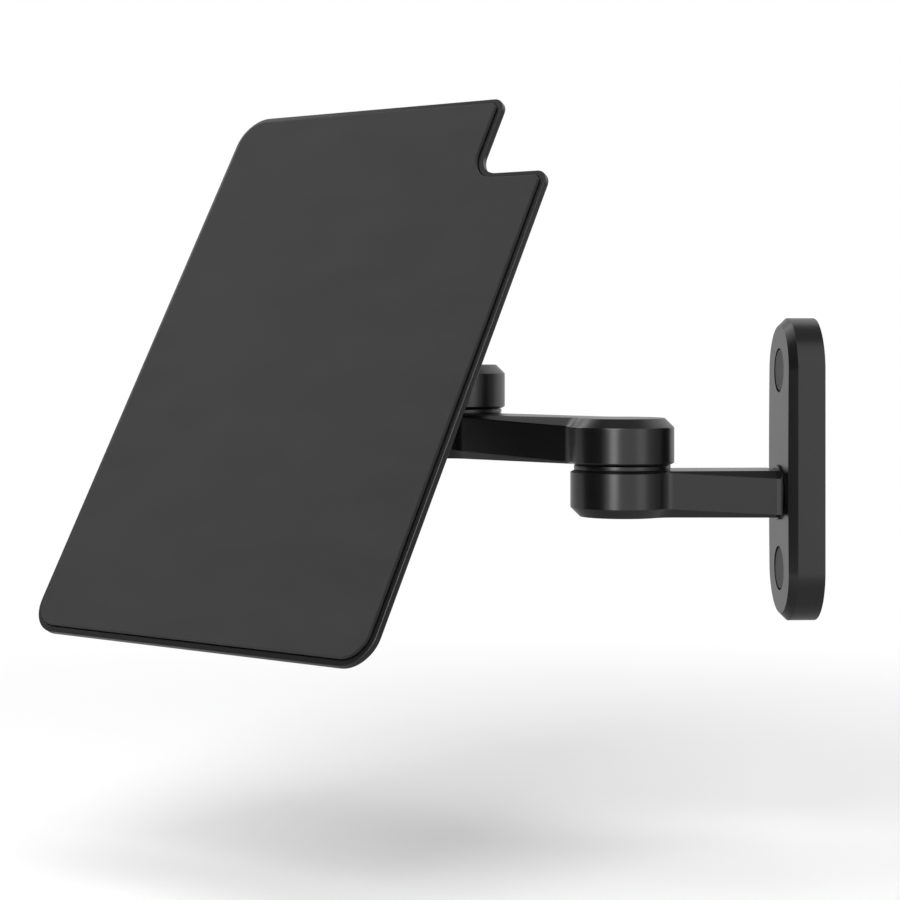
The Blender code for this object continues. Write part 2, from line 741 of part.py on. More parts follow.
def build_rear_arm(hub, black, screw_back):
    """Arm from the wall plate to the elbow's lower hub."""
    plate_front = front_depth(REAR_ARM_MIDDLE)
    length = ELBOW_REACH - plate_front - ARM_STANDOFF
    outline = one_hub_outline(length, BAR_HALF_AT_END, ARM_END_ROUND, 1)
    start = hub_side(BAR_HALF_AT_HUB, 0)[-1][0].y
    end = length - ARM_END_ROUND
    far = (length, ARM_END_BEVEL, ARM_END_BEVEL)
    body = chamfered_bar(
        outline,
        1,
        REAR_ARM_TOP - ARM_HEIGHT,
        REAR_ARM_TOP,
        outer_side_keys(start, end, far),
        ring_side_keys(start, end, far),
    )
    arm = place("rear_arm", body, black, hub)
    tongue_end = ELBOW_REACH - CLAMP_POCKET_DEPTH
    half_width = TONGUE_WIDTH / 2
    low = (-half_width, length - TONGUE_ROOT, REAR_ARM_MIDDLE - TONGUE_HEIGHT / 2)
    high = (half_width, tongue_end, REAR_ARM_MIDDLE + TONGUE_HEIGHT / 2)
    combine(arm, cutter("tongue_join", block(low, high), hub), "UNION")
    combine(arm, cutter("elbow_bore_cutter", through_bore(REAR_ARM_TOP), hub))
    hole_radius = ARM_SCREW_RADIUS + SEAT_GAP
    hole_end = screw_back + ARM_SCREW_LENGTH + SEAT_GAP
    for name, side in (("left", -1), ("right", 1)):
        hole = turned([(0, hole_end), (hole_radius, hole_end), (hole_radius, -CUT_EXTRA),
                       (0, -CUT_EXTRA)], TINY_TURN)
        spot = (side * ARM_SCREW_SPACING / 2, ELBOW_REACH, REAR_ARM_MIDDLE)
        combine(arm, cutter(f"arm_screw_{name}_cutter", hole, hub, spot, (90, 0, 0)))


def build_front_arm(elbow, black):
    """Arm from the elbow's upper hub to the head's lower hub."""
    length = FRONT_ARM_LENGTH
    outline = two_hub_outline(length, -1)
    start = hub_side(BAR_HALF_AT_HUB, 0)[-1][0].y
    end = length - hub_side(BAR_HALF_AT_END, 0)[-1][0].y
    body = chamfered_bar(
        outline,
        -1,
        FRONT_ARM_BOTTOM,
        FRONT_ARM_TOP,
        ring_side_keys(start, end, (end + HUB_FILLET / 2, HUB_CHAMFER, HUB_CHAMFER)),
        outer_side_keys(start, end, (end + HUB_FILLET / 2, RING_BEVEL_WIDTH, RING_BEVEL_HEIGHT)),
    )
    arm = place("front_arm", body, black, elbow)
    combine(arm, cutter("elbow_stud_cutter", stud_bore(REAR_ARM_TOP), elbow))
    far_bore = cutter("head_bore_cutter", through_bore(FRONT_ARM_TOP), elbow, (0, -length, 0))
    combine(arm, far_bore)


def build_head_link(head, black):
    """Hub over the front arm and a fork that holds the tilting knuckle."""
    length = HEAD_LINK_LENGTH + KNUCKLE_RADIUS
    outline = one_hub_outline(length, FORK_HALF_WIDTH, FORK_CORNER, -1)
    start = hub_side(BAR_HALF_AT_HUB, 0)[-1][0].y
    thin = (length, BAR_CHAMFER_FAR, BAR_CHAMFER_FAR)
    body = chamfered_bar(
        outline,
        -1,
        HEAD_BOTTOM,
        HEAD_BOTTOM + ARM_HEIGHT,
        [(start - HUB_FILLET / 2, RING_BEVEL_WIDTH, RING_BEVEL_HEIGHT),
         (start, BAR_EDGE_WIDTH, RING_BEVEL_HEIGHT), thin],
        [(start - HUB_FILLET / 2, HUB_CHAMFER, HUB_CHAMFER),
         (start, BAR_CHAMFER_NEAR, BAR_CHAMFER_NEAR), thin],
    )
    link = place("head_link", body, black, head)
    combine(link, cutter("head_stud_cutter", stud_bore(FRONT_ARM_TOP), head))
    axis = (0, -HEAD_LINK_LENGTH, TILT_AXIS_HEIGHT)
    combine(link, cutter("fork_end_cutter", fork_end_remover(), head, axis, (90, 0, 90)))
    slot_floor = KNUCKLE_RADIUS + FORK_SLOT_FLOOR
    reach = KNUCKLE_RADIUS + CUT_EXTRA
    slot = block((-SLOT_HALF_WIDTH, -reach, -reach), (SLOT_HALF_WIDTH, slot_floor, reach))
    combine(link, cutter("fork_slot_cutter", slot, head, axis))
    pocket = TILT_COVER_RADIUS + SEAT_GAP
    pin_hole = TILT_PIN_RADIUS + SEAT_GAP
    floor = tilt_pocket_floor()
    outside = FORK_HALF_WIDTH + CUT_EXTRA
    bore = turned([(0, outside), (pocket, outside), (pocket, floor), (pin_hole, floor),
                   (pin_hole, -floor), (pocket, -floor), (pocket, -outside), (0, -outside)],
                  SMALL_TURN)
    combine(link, cutter("tilt_bore_cutter", bore, head, axis, (0, 90, 0)))


def fork_end_remover():
    """What lies outside the fork's round end, as a prism across the fork."""
    sweep = math.radians(FORK_END_ANGLE)
    reach = KNUCKLE_RADIUS + CUT_EXTRA
    curve = []
    for step in range(FORK_END_STEPS + 1):
        angle = sweep - 2 * sweep * step / FORK_END_STEPS
        curve.append((-KNUCKLE_RADIUS * math.cos(angle), KNUCKLE_RADIUS * math.sin(angle)))
    outline = [(curve[0][0], reach), *curve, (curve[0][0], -reach), (-reach, -reach), (-reach, reach)]
    across = FORK_HALF_WIDTH + CUT_EXTRA
    return stacked([[(along, up, side) for along, up in outline] for side in (-across, across)])


# Tilt joint

def tilt_pocket_floor():
    """Distance from the fork's middle to the floor of the pin's end pockets."""
    cover_inside = FORK_HALF_WIDTH - TILT_COVER_RECESS - TILT_COVER_THICKNESS
    return cover_inside - 2 * SEAT_GAP - TILT_HEAD_HEIGHT


def build_tilt_joint(link_axis, tilt, black, steel, plastic):
    """Pin, nut and covers in the fork; bushes and friction washers by the knuckle."""
    along_x = (0, 90, 0)
    floor = tilt_pocket_floor()
    head_low = floor + SEAT_GAP
    head_high = head_low + TILT_HEAD_HEIGHT
    pin = turned([
        (0, head_high),
        (TILT_HEAD_RADIUS, head_high),
        (TILT_HEAD_RADIUS, head_low),
        (TILT_PIN_RADIUS, head_low),
        (TILT_PIN_RADIUS, -head_high),
        (0, -head_high),
    ], SMALL_TURN)
    place("tilt_pin", pin, steel, link_axis, turn=along_x)
    hex_nut("tilt_nut", TILT_NUT_ACROSS_FLATS, -head_high, -head_low, TILT_PIN_RADIUS + SEAT_GAP,
            steel, link_axis, along_x)
    for name, side in (("left", -1), ("right", 1)):
        cover_high = FORK_HALF_WIDTH - TILT_COVER_RECESS
        cover_low = cover_high - TILT_COVER_THICKNESS
        cover = turned([
            (0, side * cover_high),
            (TILT_COVER_RADIUS - CAP_BEVEL, side * cover_high),
            (TILT_COVER_RADIUS, side * (cover_high - CAP_BEVEL)),
            (TILT_COVER_RADIUS, side * cover_low),
            (0, side * cover_low),
        ], SMALL_TURN)
        place(f"tilt_cover_{name}", cover, plastic, link_axis, turn=along_x)
        washer_low = KNUCKLE_HALF_WIDTH + SEAT_GAP
        washer = disc_ring(TILT_PIN_RADIUS + SEAT_GAP, TILT_WASHER_RADIUS, side * washer_low,
                           side * (washer_low + TILT_WASHER_THICKNESS))
        place(f"tilt_washer_{name}", turned(washer, SMALL_TURN, ring=True), plastic, link_axis,
              turn=along_x)
        tube = disc_ring(TILT_PIN_RADIUS + RUNNING_GAP, TILT_BUSH_OUTER, side * SEAT_GAP / 2,
                         side * KNUCKLE_HALF_WIDTH)
        place(f"tilt_bush_{name}", turned(tube, SMALL_TURN, ring=True), plastic, tilt, turn=along_x)


def knuckle_body():
    """Round-backed knuckle that runs forward into the flange."""
    middle = (FLANGE_BACK + FLANGE_FRONT) / 2
    outline = [(KNUCKLE_RADIUS, middle)]
    for step in range(KNUCKLE_STEPS + 1):
        angle = -math.pi * step / KNUCKLE_STEPS
        outline.append((KNUCKLE_RADIUS * math.cos(angle), KNUCKLE_RADIUS * math.sin(angle)))
    outline.append((-KNUCKLE_RADIUS, middle))
    return stacked([
        [(side, up, out) for up, out in outline]
        for side in (-KNUCKLE_HALF_WIDTH, KNUCKLE_HALF_WIDTH)
    ])


def build_tilt_block(holder_axis, tilt, black, plastic):
    """Knuckle with a round flange, which carries the turning joint."""
    blocked = place("tilt_block", knuckle_body(), black, holder_axis)
    flange = turned([
        (0, FLANGE_FRONT),
        (FLANGE_RADIUS, FLANGE_FRONT),
        (FLANGE_RADIUS, FLANGE_BACK + FLANGE_BEVEL),
        (FLANGE_RADIUS - FLANGE_BEVEL, FLANGE_BACK),
        (0, FLANGE_BACK),
    ], FINE_TURN)
    combine(blocked, cutter("flange_join", flange, holder_axis), "UNION")
    across = KNUCKLE_HALF_WIDTH + CUT_EXTRA
    bore = TILT_BUSH_OUTER + SEAT_GAP
    tube = turned([(0, across), (bore, across), (bore, -across), (0, -across)], SMALL_TURN)
    combine(blocked, cutter("knuckle_bore_cutter", tube, tilt, turn=(0, 90, 0)))
    screw_hole = TURN_SCREW_RADIUS + SEAT_GAP
    floor = TURN_SCREW_TIP - SEAT_GAP
    hole = turned([(0, FLANGE_FRONT + CUT_EXTRA), (screw_hole, FLANGE_FRONT + CUT_EXTRA),
                   (screw_hole, floor), (0, floor)], SMALL_TURN)
    combine(blocked, cutter("turn_screw_cutter", hole, holder_axis))
    ring_low = FLANGE_FRONT + SEAT_GAP
    ring = disc_ring(TURN_RING_INNER, TURN_RING_OUTER, ring_low, ring_low + TURN_RING_THICKNESS)
    place("turn_ring", turned(ring, FINE_TURN, ring=True), plastic, holder_axis)


# Turning joint and holder

def turn_stack():
    """Heights of the pieces in the holder's centre pocket, from its floor up."""
    flange_top = PAD_BACK - SEAT_GAP - TURN_SCREW_HEAD_HEIGHT
    spring_top = flange_top - SEAT_GAP
    spring_low = spring_top - TURN_SPRING_THICKNESS - TURN_SPRING_RISE
    bush_top = spring_low - SEAT_GAP
    floor = bush_top - TURN_BUSH_FLANGE_THICKNESS - SEAT_GAP
    return {"head": flange_top, "spring": spring_low, "bush": bush_top, "floor": floor}


def build_turn_joint(holder_axis, holder, steel, plastic):
    """Shoulder screw and spring washer on the tilt block, and the holder's bush."""
    heights = turn_stack()
    head_top = heights["head"] + TURN_SCREW_HEAD_HEIGHT
    screw = turned([
        (0, head_top),
        (TURN_SCREW_HEAD_RADIUS, head_top),
        (TURN_SCREW_HEAD_RADIUS, heights["head"]),
        (TURN_SCREW_RADIUS, heights["head"]),
        (TURN_SCREW_RADIUS, TURN_SCREW_TIP),
        (0, TURN_SCREW_TIP),
    ], SMALL_TURN)
    place("turn_screw", screw, steel, holder_axis)
    spring = spring_washer(TURN_SCREW_RADIUS + SEAT_GAP, TURN_BUSH_FLANGE_RADIUS, heights["spring"],
                           TURN_SPRING_THICKNESS, TURN_SPRING_RISE)
    place("turn_spring_washer", spring, steel, holder_axis)
    inner = TURN_SCREW_RADIUS + RUNNING_GAP
    outer = inner + TURN_BUSH_WALL
    shoulder = heights["bush"] - TURN_BUSH_FLANGE_THICKNESS
    tube_end = BOSS_BACK + SEAT_GAP
    sleeve = turned([
        (inner, heights["bush"]),
        (TURN_BUSH_FLANGE_RADIUS, heights["bush"]),
        (TURN_BUSH_FLANGE_RADIUS, shoulder),
        (outer, shoulder),
        (outer, tube_end),
        (inner, tube_end),
    ], SMALL_TURN, ring=True)
    place("turn_bush", sleeve, plastic, holder)


def holder_outline(shrink):
    """Rounded upright outline with a relief in its upper right corner."""
    half_width = HOLDER_WIDTH / 2 - shrink
    half_height = HOLDER_HEIGHT / 2 - shrink
    corner = HOLDER_CORNER - shrink
    inner = RELIEF_INNER_ROUND + shrink
    outer = RELIEF_OUTER_ROUND - shrink
    relief_x = HOLDER_WIDTH / 2 - RELIEF_SIZE - shrink
    relief_y = HOLDER_HEIGHT / 2 - RELIEF_SIZE - shrink
    return rounded_polygon([
        (-half_width, -half_height, corner),
        (half_width, -half_height, corner),
        (half_width, relief_y, outer),
        (relief_x, relief_y, inner),
        (relief_x, half_height, outer),
        (-half_width, half_height, corner),
    ])


def magnet_places():
    """Two columns beside the middle, and a pair near each end."""
    column = HOLDER_WIDTH / 2 - MAGNET_SIDE_MARGIN
    pitch = (HOLDER_HEIGHT / 2 - MAGNET_LOW_MARGIN) / 2
    end_row = HOLDER_HEIGHT / 2 - MAGNET_END_MARGIN
    places = [(side * column, row * pitch) for side in (-1, 1) for row in (-2, -1, 0, 1)]
    places += [(side * MAGNET_END_SPREAD, end * end_row) for side in (-1, 1) for end in (-1, 1)]
    return places


def build_holder(holder, black, steel, soft):
    """Plate, pad and magnets that carry the tablet."""
    outline = holder_outline(0)
    body = stacked([
        inset_level(outline, HOLDER_BACK_CHAMFER, HOLDER_BACK),
        inset_level(outline, 0, HOLDER_BACK + HOLDER_BACK_CHAMFER),
        inset_level(outline, 0, HOLDER_FRONT - HOLDER_FRONT_BEVEL),
        inset_level(outline, HOLDER_FRONT_BEVEL, HOLDER_FRONT),
    ])
    plate = place("holder_plate", body, black, holder)
    boss = turned([
        (0, HOLDER_BACK + HOLDER_THICKNESS / 2),
        (BOSS_RADIUS, HOLDER_BACK + HOLDER_THICKNESS / 2),
        (BOSS_RADIUS, BOSS_BACK + BOSS_BEVEL),
        (BOSS_RADIUS - BOSS_BEVEL, BOSS_BACK),
        (0, BOSS_BACK),
    ], FINE_TURN)
    combine(plate, cutter("boss_join", boss, holder), "UNION")
    recess = [inset_level(holder_outline(PAD_LIP), 0, height)
              for height in (PAD_SEAT, HOLDER_FRONT + CUT_EXTRA)]
    combine(plate, cutter("pad_recess_cutter", stacked(recess), holder))
    floor = turn_stack()["floor"]
    hole = TURN_SCREW_RADIUS + RUNNING_GAP + TURN_BUSH_WALL + SEAT_GAP
    bore = turned([
        (0, HOLDER_FRONT + CUT_EXTRA),
        (TURN_POCKET_RADIUS, HOLDER_FRONT + CUT_EXTRA),
        (TURN_POCKET_RADIUS, floor),
        (hole, floor),
        (hole, BOSS_BACK - CUT_EXTRA),
        (0, BOSS_BACK - CUT_EXTRA),
    ], FINE_TURN)
    combine(plate, cutter("turn_bore_cutter", bore, holder))

    magnet_high = PAD_BACK - SEAT_GAP
    magnet_low = magnet_high - MAGNET_THICKNESS
    pocket_radius = MAGNET_RADIUS + SEAT_GAP
    for number, (x, y) in enumerate(magnet_places(), start=1):
        pocket = turned([
            (0, HOLDER_FRONT + CUT_EXTRA),
            (pocket_radius, HOLDER_FRONT + CUT_EXTRA),
            (pocket_radius, magnet_low - SEAT_GAP),
            (0, magnet_low - SEAT_GAP),
        ], TINY_TURN)
        combine(plate, cutter(f"magnet_{number:02d}_cutter", pocket, holder, (x, y, 0)))
        magnet = turned([(0, magnet_high), (MAGNET_RADIUS, magnet_high),
                         (MAGNET_RADIUS, magnet_low), (0, magnet_low)], TINY_TURN)
        place(f"magnet_{number:02d}", magnet, steel, holder, (x, y, 0))

    pad_outline = holder_outline(PAD_LIP + SEAT_GAP)
    pad_front = PAD_BACK + PAD_THICKNESS
    pad = stacked([
        inset_level(pad_outline, 0, PAD_BACK),
        inset_level(pad_outline, 0, pad_front - PAD_BEVEL),
        inset_level(pad_outline, PAD_BEVEL, pad_front),
    ])
    place("holder_pad", pad, soft, holder)


def main():
    """Build every piece from the wall out to the holder."""
    clear_scene()
    black = ((0.022, 0.022, 0.024), 0.32, 0.0)
    steel = ((0.55, 0.55, 0.56), 0.30, 1.0)
    plastic = ((0.045, 0.045, 0.047), 0.55, 0.0)
    rubber = ((0.035, 0.035, 0.036), 0.60, 0.0)
    soft = ((0.030, 0.030, 0.032), 0.80, 0.0)

    wall = frame("wall_frame", turn=(90, 0, 0))
    lower_elbow = frame("rear_arm_frame", (0, -ELBOW_REACH, 0))
    elbow = frame("elbow_joint", (0, -ELBOW_REACH, 0), (0, 0, FRONT_ARM_TURN))
    lower_head = frame("front_arm_end_frame", (0, -FRONT_ARM_LENGTH, 0), parent=elbow)
    head = frame("head_joint", (0, -FRONT_ARM_LENGTH, 0), (0, 0, HEAD_TURN), elbow)
    tilt_spot = (0, -HEAD_LINK_LENGTH, TILT_AXIS_HEIGHT)
    link_axis = frame("tilt_axis_frame", tilt_spot, parent=head)
    tilt = frame("tilt_joint", tilt_spot, (-HOLDER_TILT, 0, 0), head)
    holder_axis = frame("turn_axis_frame", turn=(90, 0, 0), parent=tilt)
    holder = frame("turn_joint", turn=(90, 0, 0), parent=tilt)

    screw_back = build_wall_plate(wall, black, steel, rubber)
    build_rear_arm(lower_elbow, black, screw_back)
    build_swivel("elbow", lower_elbow, elbow, REAR_ARM_TOP, black, steel, plastic)
    build_front_arm(elbow, black)
    build_swivel("head", lower_head, head, FRONT_ARM_TOP, black, steel, plastic)
    build_head_link(head, black)
    build_tilt_joint(link_axis, tilt, black, steel, plastic)
    build_tilt_block(holder_axis, tilt, black, plastic)
    build_turn_joint(holder_axis, holder, steel, plastic)
    build_holder(holder, black, steel, soft)


main()
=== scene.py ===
"""Finished pieces of a double swing arm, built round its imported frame.

Everything is in metres with +Z up. The mounting plate's back is the plane y = 0
and the arm reaches out along -Y. Sizes come from the frame where it gives them.
"""

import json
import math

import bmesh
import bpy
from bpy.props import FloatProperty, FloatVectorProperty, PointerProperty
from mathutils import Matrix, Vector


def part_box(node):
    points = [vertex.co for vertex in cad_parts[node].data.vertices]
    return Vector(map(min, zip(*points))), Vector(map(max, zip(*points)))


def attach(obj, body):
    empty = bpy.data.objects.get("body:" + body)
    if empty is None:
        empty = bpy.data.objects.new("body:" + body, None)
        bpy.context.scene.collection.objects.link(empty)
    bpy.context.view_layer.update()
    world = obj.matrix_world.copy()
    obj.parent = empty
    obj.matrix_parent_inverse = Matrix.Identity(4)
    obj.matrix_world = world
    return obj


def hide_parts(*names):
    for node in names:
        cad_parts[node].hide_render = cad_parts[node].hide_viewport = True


bl_info = {
    "name": "Double swing arm",
    "version": (1, 0, 0),
    "blender": (4, 5, 0),
    "location": "3D View > Sidebar > Swing arm",
    "description": "Builds the finished pieces of a double swing arm round its frame",
    "category": "Add Mesh",
}

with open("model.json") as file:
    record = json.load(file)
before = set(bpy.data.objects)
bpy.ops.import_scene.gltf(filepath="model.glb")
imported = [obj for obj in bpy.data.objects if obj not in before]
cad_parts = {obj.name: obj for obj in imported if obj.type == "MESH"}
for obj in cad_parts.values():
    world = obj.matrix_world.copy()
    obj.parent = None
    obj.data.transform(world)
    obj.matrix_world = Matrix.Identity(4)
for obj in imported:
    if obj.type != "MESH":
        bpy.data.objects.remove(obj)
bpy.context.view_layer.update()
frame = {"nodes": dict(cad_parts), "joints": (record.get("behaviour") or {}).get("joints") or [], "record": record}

# Places that the frame gives
UP = Vector((0, 0, 1))
JOINTS = {joint["name"]: joint for joint in frame["joints"]}
ELBOW = Vector(JOINTS["elbow_swivel"]["pos_m"])
HEAD = Vector(JOINTS["head_swivel"]["pos_m"])
TILT = Vector(JOINTS["holder_tilt"]["pos_m"])
TILT_AXIS = Vector(JOINTS["holder_tilt"]["axis"]).normalized()
FACE_AXIS = Vector(JOINTS["holder_turn"]["axis"]).normalized()
PLATE_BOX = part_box("wall_plate")
REAR_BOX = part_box("rear_arm")
FRONT_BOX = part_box("front_arm")
LINK_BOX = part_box("head_link")
ELBOW_RING_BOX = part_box("elbow_ring")
WALL_RING_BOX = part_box("wall_ring")
CAP_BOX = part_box("upper_screw_cap")
HUB_RADIUS = ELBOW.y - REAR_BOX[0].y
ARM_HEIGHT = REAR_BOX[1].z - REAR_BOX[0].z
REAR_MIDDLE = (REAR_BOX[0].z + REAR_BOX[1].z) / 2
FRONT_LENGTH = (HEAD - ELBOW).xy.length
LINK_LENGTH = (TILT - HEAD).xy.length
KNUCKLE_RADIUS = ARM_HEIGHT / 2
RING_RADIUS = (ELBOW_RING_BOX[1].x - ELBOW_RING_BOX[0].x) / 2

# Turns a plan's X and Y to Y and Z
UPENDED = Matrix(((0, 0, 1, 0), (1, 0, 0, 0), (0, 1, 0, 0), (0, 0, 0, 1)))

# Facets and fits
HUB_STEPS = 128
TURN_STEPS = 96
POCKET_STEPS = 40
FILLET_STEPS = 16
CORNER_STEPS = 16
BAR_CUTS = 14
CROWN_ROWS = 28
FORK_ROWS = 18
MERGE = 1e-6
SOFT_ANGLE = math.radians(25)
SHARP_ANGLE = math.radians(38)
LEVEL = 0.9
STEEP = 0.5
CUT_EXTRA = 0.002
CUT_THROUGH = 0.1
SEAT_GAP = 0.0003

# Bores and pockets, in metres: a head's pair is its radius and its bottom, and the other
# pairs are half a width and half a height
SCREW_HOLE = 0.0026
SCREW_HEAD = (0.0070, 0.0080)
CLAMP_ROOM = (0.0123, 0.0068)
CLAMP_DEPTH = 0.0064
TONGUE = (0.009, 0.0055)
TONGUE_ROOM = (0.0093, 0.0058)
TONGUE_ROOT = 0.004
ARM_SCREW_BORE = 0.0021
BUSH_SEAT = 0.0098
BUSH_SEAT_DEPTH = 0.0015
BUSH_BORE = 0.00698
FOOT_ROOM = 0.0110
FOOT_ROOM_LEVEL = 0.0089
STUD_BORE = 0.0063
STUD_DEPTH = 0.0123
PIN_BORE = 0.0033
PIN_HEAD_ROOM = 0.0059
PIN_HEAD_DEPTH = 0.0048
TILT_BORE = 0.00488
TURN_SCREW_BORE = 0.0043
TURN_SCREW_TIP = 0.0061
TURN_BUSH_BORE = 0.00588
TURN_HEAD = (0.0095, 0.0172)
MAGNET_ROOM = 0.0063
MAGNET_DEPTH = 0.0023

# Small forms: lengths in metres, places as a share of a radius or a height
DISH_RIM = ((0.86, 0.6), (0.93, 0.0))
SKIRT_RADIUS = 0.0067
RING_BORE = 0.0115
RING_ROUND = 0.00025
WALL_RING_ROUND = 0.00012
TAPER = math.radians(10)
TAPER_START = 0.0003
FORK_TIP = 0.12
FOOT_SKIRT = 0.0010
FOOT_FLOOR = 0.0018
FOOT_RIM = (0.94, 0.90)
FOOT_DISH = 0.0002
FOOT_ROUND = 0.0003
KNUCKLE_ROUND = 0.0005
COVER_SINK = 0.0002
COVER_DISH = 0.00015
COVER_RIM = (0.85, 0.9)
COVER_THICKNESS = 0.0012
TURN_RING = (0.016, 0.0255)
TURN_RING_THICKNESS = 0.0012
THIN_ROUND = 0.0002
BOSS_RADIUS = 0.027
BOSS_THICKNESS = 0.0016
BOSS_ROUND = 0.0007
HOLDER_ROUND = 0.0004
PAD_ROUND = 0.0005

# Stage
WHITE = (1, 1, 1)
BLACK = (0, 0, 0)
FLOOR_RADIUS = 6
FLOOR_STEPS = 64
FLOOR_MIDDLE = Vector((-0.05, -0.17, -0.165))
FLOOR_FADE = (0.30, 0.75)
# Painted shade: the share of the floor's colour that reflections see
FLOOR_SHADE_IN_REFLECTIONS = 0.45
WORLD_LEVEL = 0.5
ROOM_FADE = (0.42, 0.80)
ROOM_DEPTH = 0.9
FAR_FADE = (0.6, 0.95)
FAR_DEPTH = 0.35
SIDE_FADE = (0.5, 1.0)
SIDE_END = (-0.35, 0.0)
SIDE_DEPTH = 0.75
CEILING_FADE = (0.75, 0.95)
CEILING_DEPTH = 0.75
CAMERA_PLACE = (0.990, -0.2312, 0.0529)
CAMERA_TURN = math.radians(4.45)
CAMERA_SHIFT = -0.118
LENS = 95.1

# Name, place, width, height and power of each lamp
LAMPS = (
    ("key_lamp", (1.1, -0.75, 1.1), 0.9, 0.9, 14),
    ("top_lamp", (0.0, -0.2, 1.6), 1.2, 1.2, 10),
    ("fill_lamp", (-0.9, -1.2, 0.7), 1.0, 1.0, 5),
    ("strip_lamp", (1.16, -0.67, 0.05), 0.36, 1.5, 7.5),
    ("side_lamp", (1.07, 0.66, 0.05), 0.45, 1.2, 1.4),
)


# Sizes and colours that a user can change

def size(name, description, default):
    """A length in metres."""
    return FloatProperty(name=name, description=description, default=default, min=0.0,
                         unit="LENGTH", precision=5)


def share(name, description, default):
    """A number from nought to one."""
    return FloatProperty(name=name, description=description, default=default, min=0.0, max=1.0,
                         subtype="FACTOR")


def colour(name, description, default):
    """A linear colour."""
    return FloatVectorProperty(name=name, description=description, default=default, min=0.0,
                               max=1.0, subtype="COLOR")


class PlateSizes(bpy.types.PropertyGroup):
    """Sizes of the wall plate and its caps."""
    crown: size("Crown", "Height of the front's middle over its ends", 0.0005)
    chamfer: size("Chamfer", "Width of the chamfer round the front", 0.0031)
    back_bevel: size("Back bevel", "Bevel round the back", 0.0004)
    edge_round: size("Edge round", "Rounding of the chamfer's edges", 0.00035)
    cap_radius: size("Cap radius", "Radius of a screw's cap", 0.0088)
    cap_gap: size("Cap gap", "Gap round a cap's face", 0.0005)
    cap_round: size("Cap round", "Rounding of a cap's rim", 0.0005)
    cap_dish: size("Cap dish", "Depth of the hollow in a cap's face", 0.00012)
    cap_thickness: size("Cap thickness", "Thickness of a cap's face", 0.0019)
    skirt_length: size("Skirt length", "Length of a cap's skirt", 0.0032)
    skirt_wall: size("Skirt wall", "Thickness of a cap's skirt", 0.0012)


class ArmSizes(bpy.types.PropertyGroup):
    """Sizes of the two arms and the head link."""
    half_at_hub: size("Bar at its hub", "Half of a bar's width at its first hub", 0.0138)
    half_at_end: size("Bar at its end", "Half of a bar's width at its far end", 0.0158)
    fillet: size("Hub fillet", "Radius between a hub and its bar", 0.0083)
    hub_chamfer: size("Hub chamfer", "Chamfer round a hub's open side", 0.0039)
    bar_near: size("Bar chamfer, near", "Chamfer of a bar's open side at its hub", 0.0036)
    bar_far: size("Bar chamfer, far", "Chamfer of a bar's open side at its end", 0.0012)
    rim_width: size("Rim width", "Width of the small chamfer by a ring", 0.0015)
    rim_height: size("Rim height", "Height of the small chamfer by a ring", 0.00085)
    edge_width: size("Edge width", "Width of the bar's small chamfer at its hub", 0.0009)
    grown_width: size("Grown width", "Width that the small chamfer grows to", 0.0029)
    grown_height: size("Grown height", "Height that the small chamfer grows to", 0.0033)
    end_taper: size("End taper", "Length of the rear arm's slightly tapered end", 0.0027)
    end_bevel: size("End bevel", "Bevel round the rear arm's end", 0.0008)
    edge_round: size("Edge round", "Rounding of the chamfers' edges", 0.0003)


class TiltSizes(bpy.types.PropertyGroup):
    """Sizes of the fork, its knuckle and the turning flange."""
    fork_corner: size("Fork corner", "Corner radius of the fork's sides", 0.0015)
    slot_half: size("Slot", "Half of the fork's slot", 0.0113)
    ear: size("Ear", "Thickness of one of the fork's ears", 0.0075)
    slot_floor: size("Slot floor", "Room behind the knuckle", 0.0012)
    knuckle_half: size("Knuckle", "Half of the knuckle's width", 0.0100)
    cover_radius: size("Cover radius", "Radius of the caps over the pin", 0.0056)
    flange_radius: size("Flange radius", "Radius of the turning flange", 0.0270)
    flange_back: size("Flange back", "Place of its back along the turning axis", 0.010325)
    flange_front: size("Flange front", "Place of its front along the turning axis", 0.013325)
    flange_round: size("Flange round", "Rounding of the flange's rim", 0.0010)


class HolderSizes(bpy.types.PropertyGroup):
    """Sizes of the holder and its pad."""
    width: size("Width", "Width of the holder", 0.192)
    height: size("Height", "Height of the holder", 0.258)
    corner: size("Corner", "Corner radius of the holder", 0.014)
    relief: size("Relief", "Size of the relief in one corner", 0.038)
    relief_inner: size("Relief inside", "Inner corner radius of the relief", 0.010)
    relief_outer: size("Relief outside", "Outer corner radius of the relief", 0.006)
    back: size("Back", "Place of the back along the turning axis", 0.016725)
    thickness: size("Thickness", "Thickness of the holder", 0.0046)
    back_chamfer: size("Back chamfer", "Chamfer round the back", 0.0020)
    lip: size("Lip", "Width of the rim round the pad", 0.0025)
    recess: size("Recess", "Depth of the pad's seat", 0.0006)
    pad: size("Pad", "Thickness of the pad", 0.0017)


class Finishes(bpy.types.PropertyGroup):
    """Colours and gloss of the pieces."""
    black: colour("Black", "Colour of the satin metal", (0.0035, 0.0035, 0.0039))
    black_gloss: share("Black roughness", "Roughness of the satin metal", 0.25)
    caps: colour("Caps", "Colour of the rubber caps", (0.020, 0.020, 0.021))
    plastic: colour("Plastic", "Colour of the plastic pieces", (0.016, 0.016, 0.017))
    pad: colour("Pad", "Colour of the soft pad", (0.016, 0.016, 0.017))
    steel: colour("Steel", "Colour of the bare steel", (0.58, 0.58, 0.60))
    floor: colour("Floor", "Colour of the floor", (0.86, 0.86, 0.86))


class SwingArm(bpy.types.PropertyGroup):
    """All sizes and finishes of the arm."""
    plate: PointerProperty(type=PlateSizes)
    arms: PointerProperty(type=ArmSizes)
    tilt: PointerProperty(type=TiltSizes)
    holder: PointerProperty(type=HolderSizes)
    finishes: PointerProperty(type=Finishes)


# Materials

# Colour sockets of a Mix node, and its result
MIX_FIRST, MIX_SECOND, MIX_RESULT = 6, 7, 2


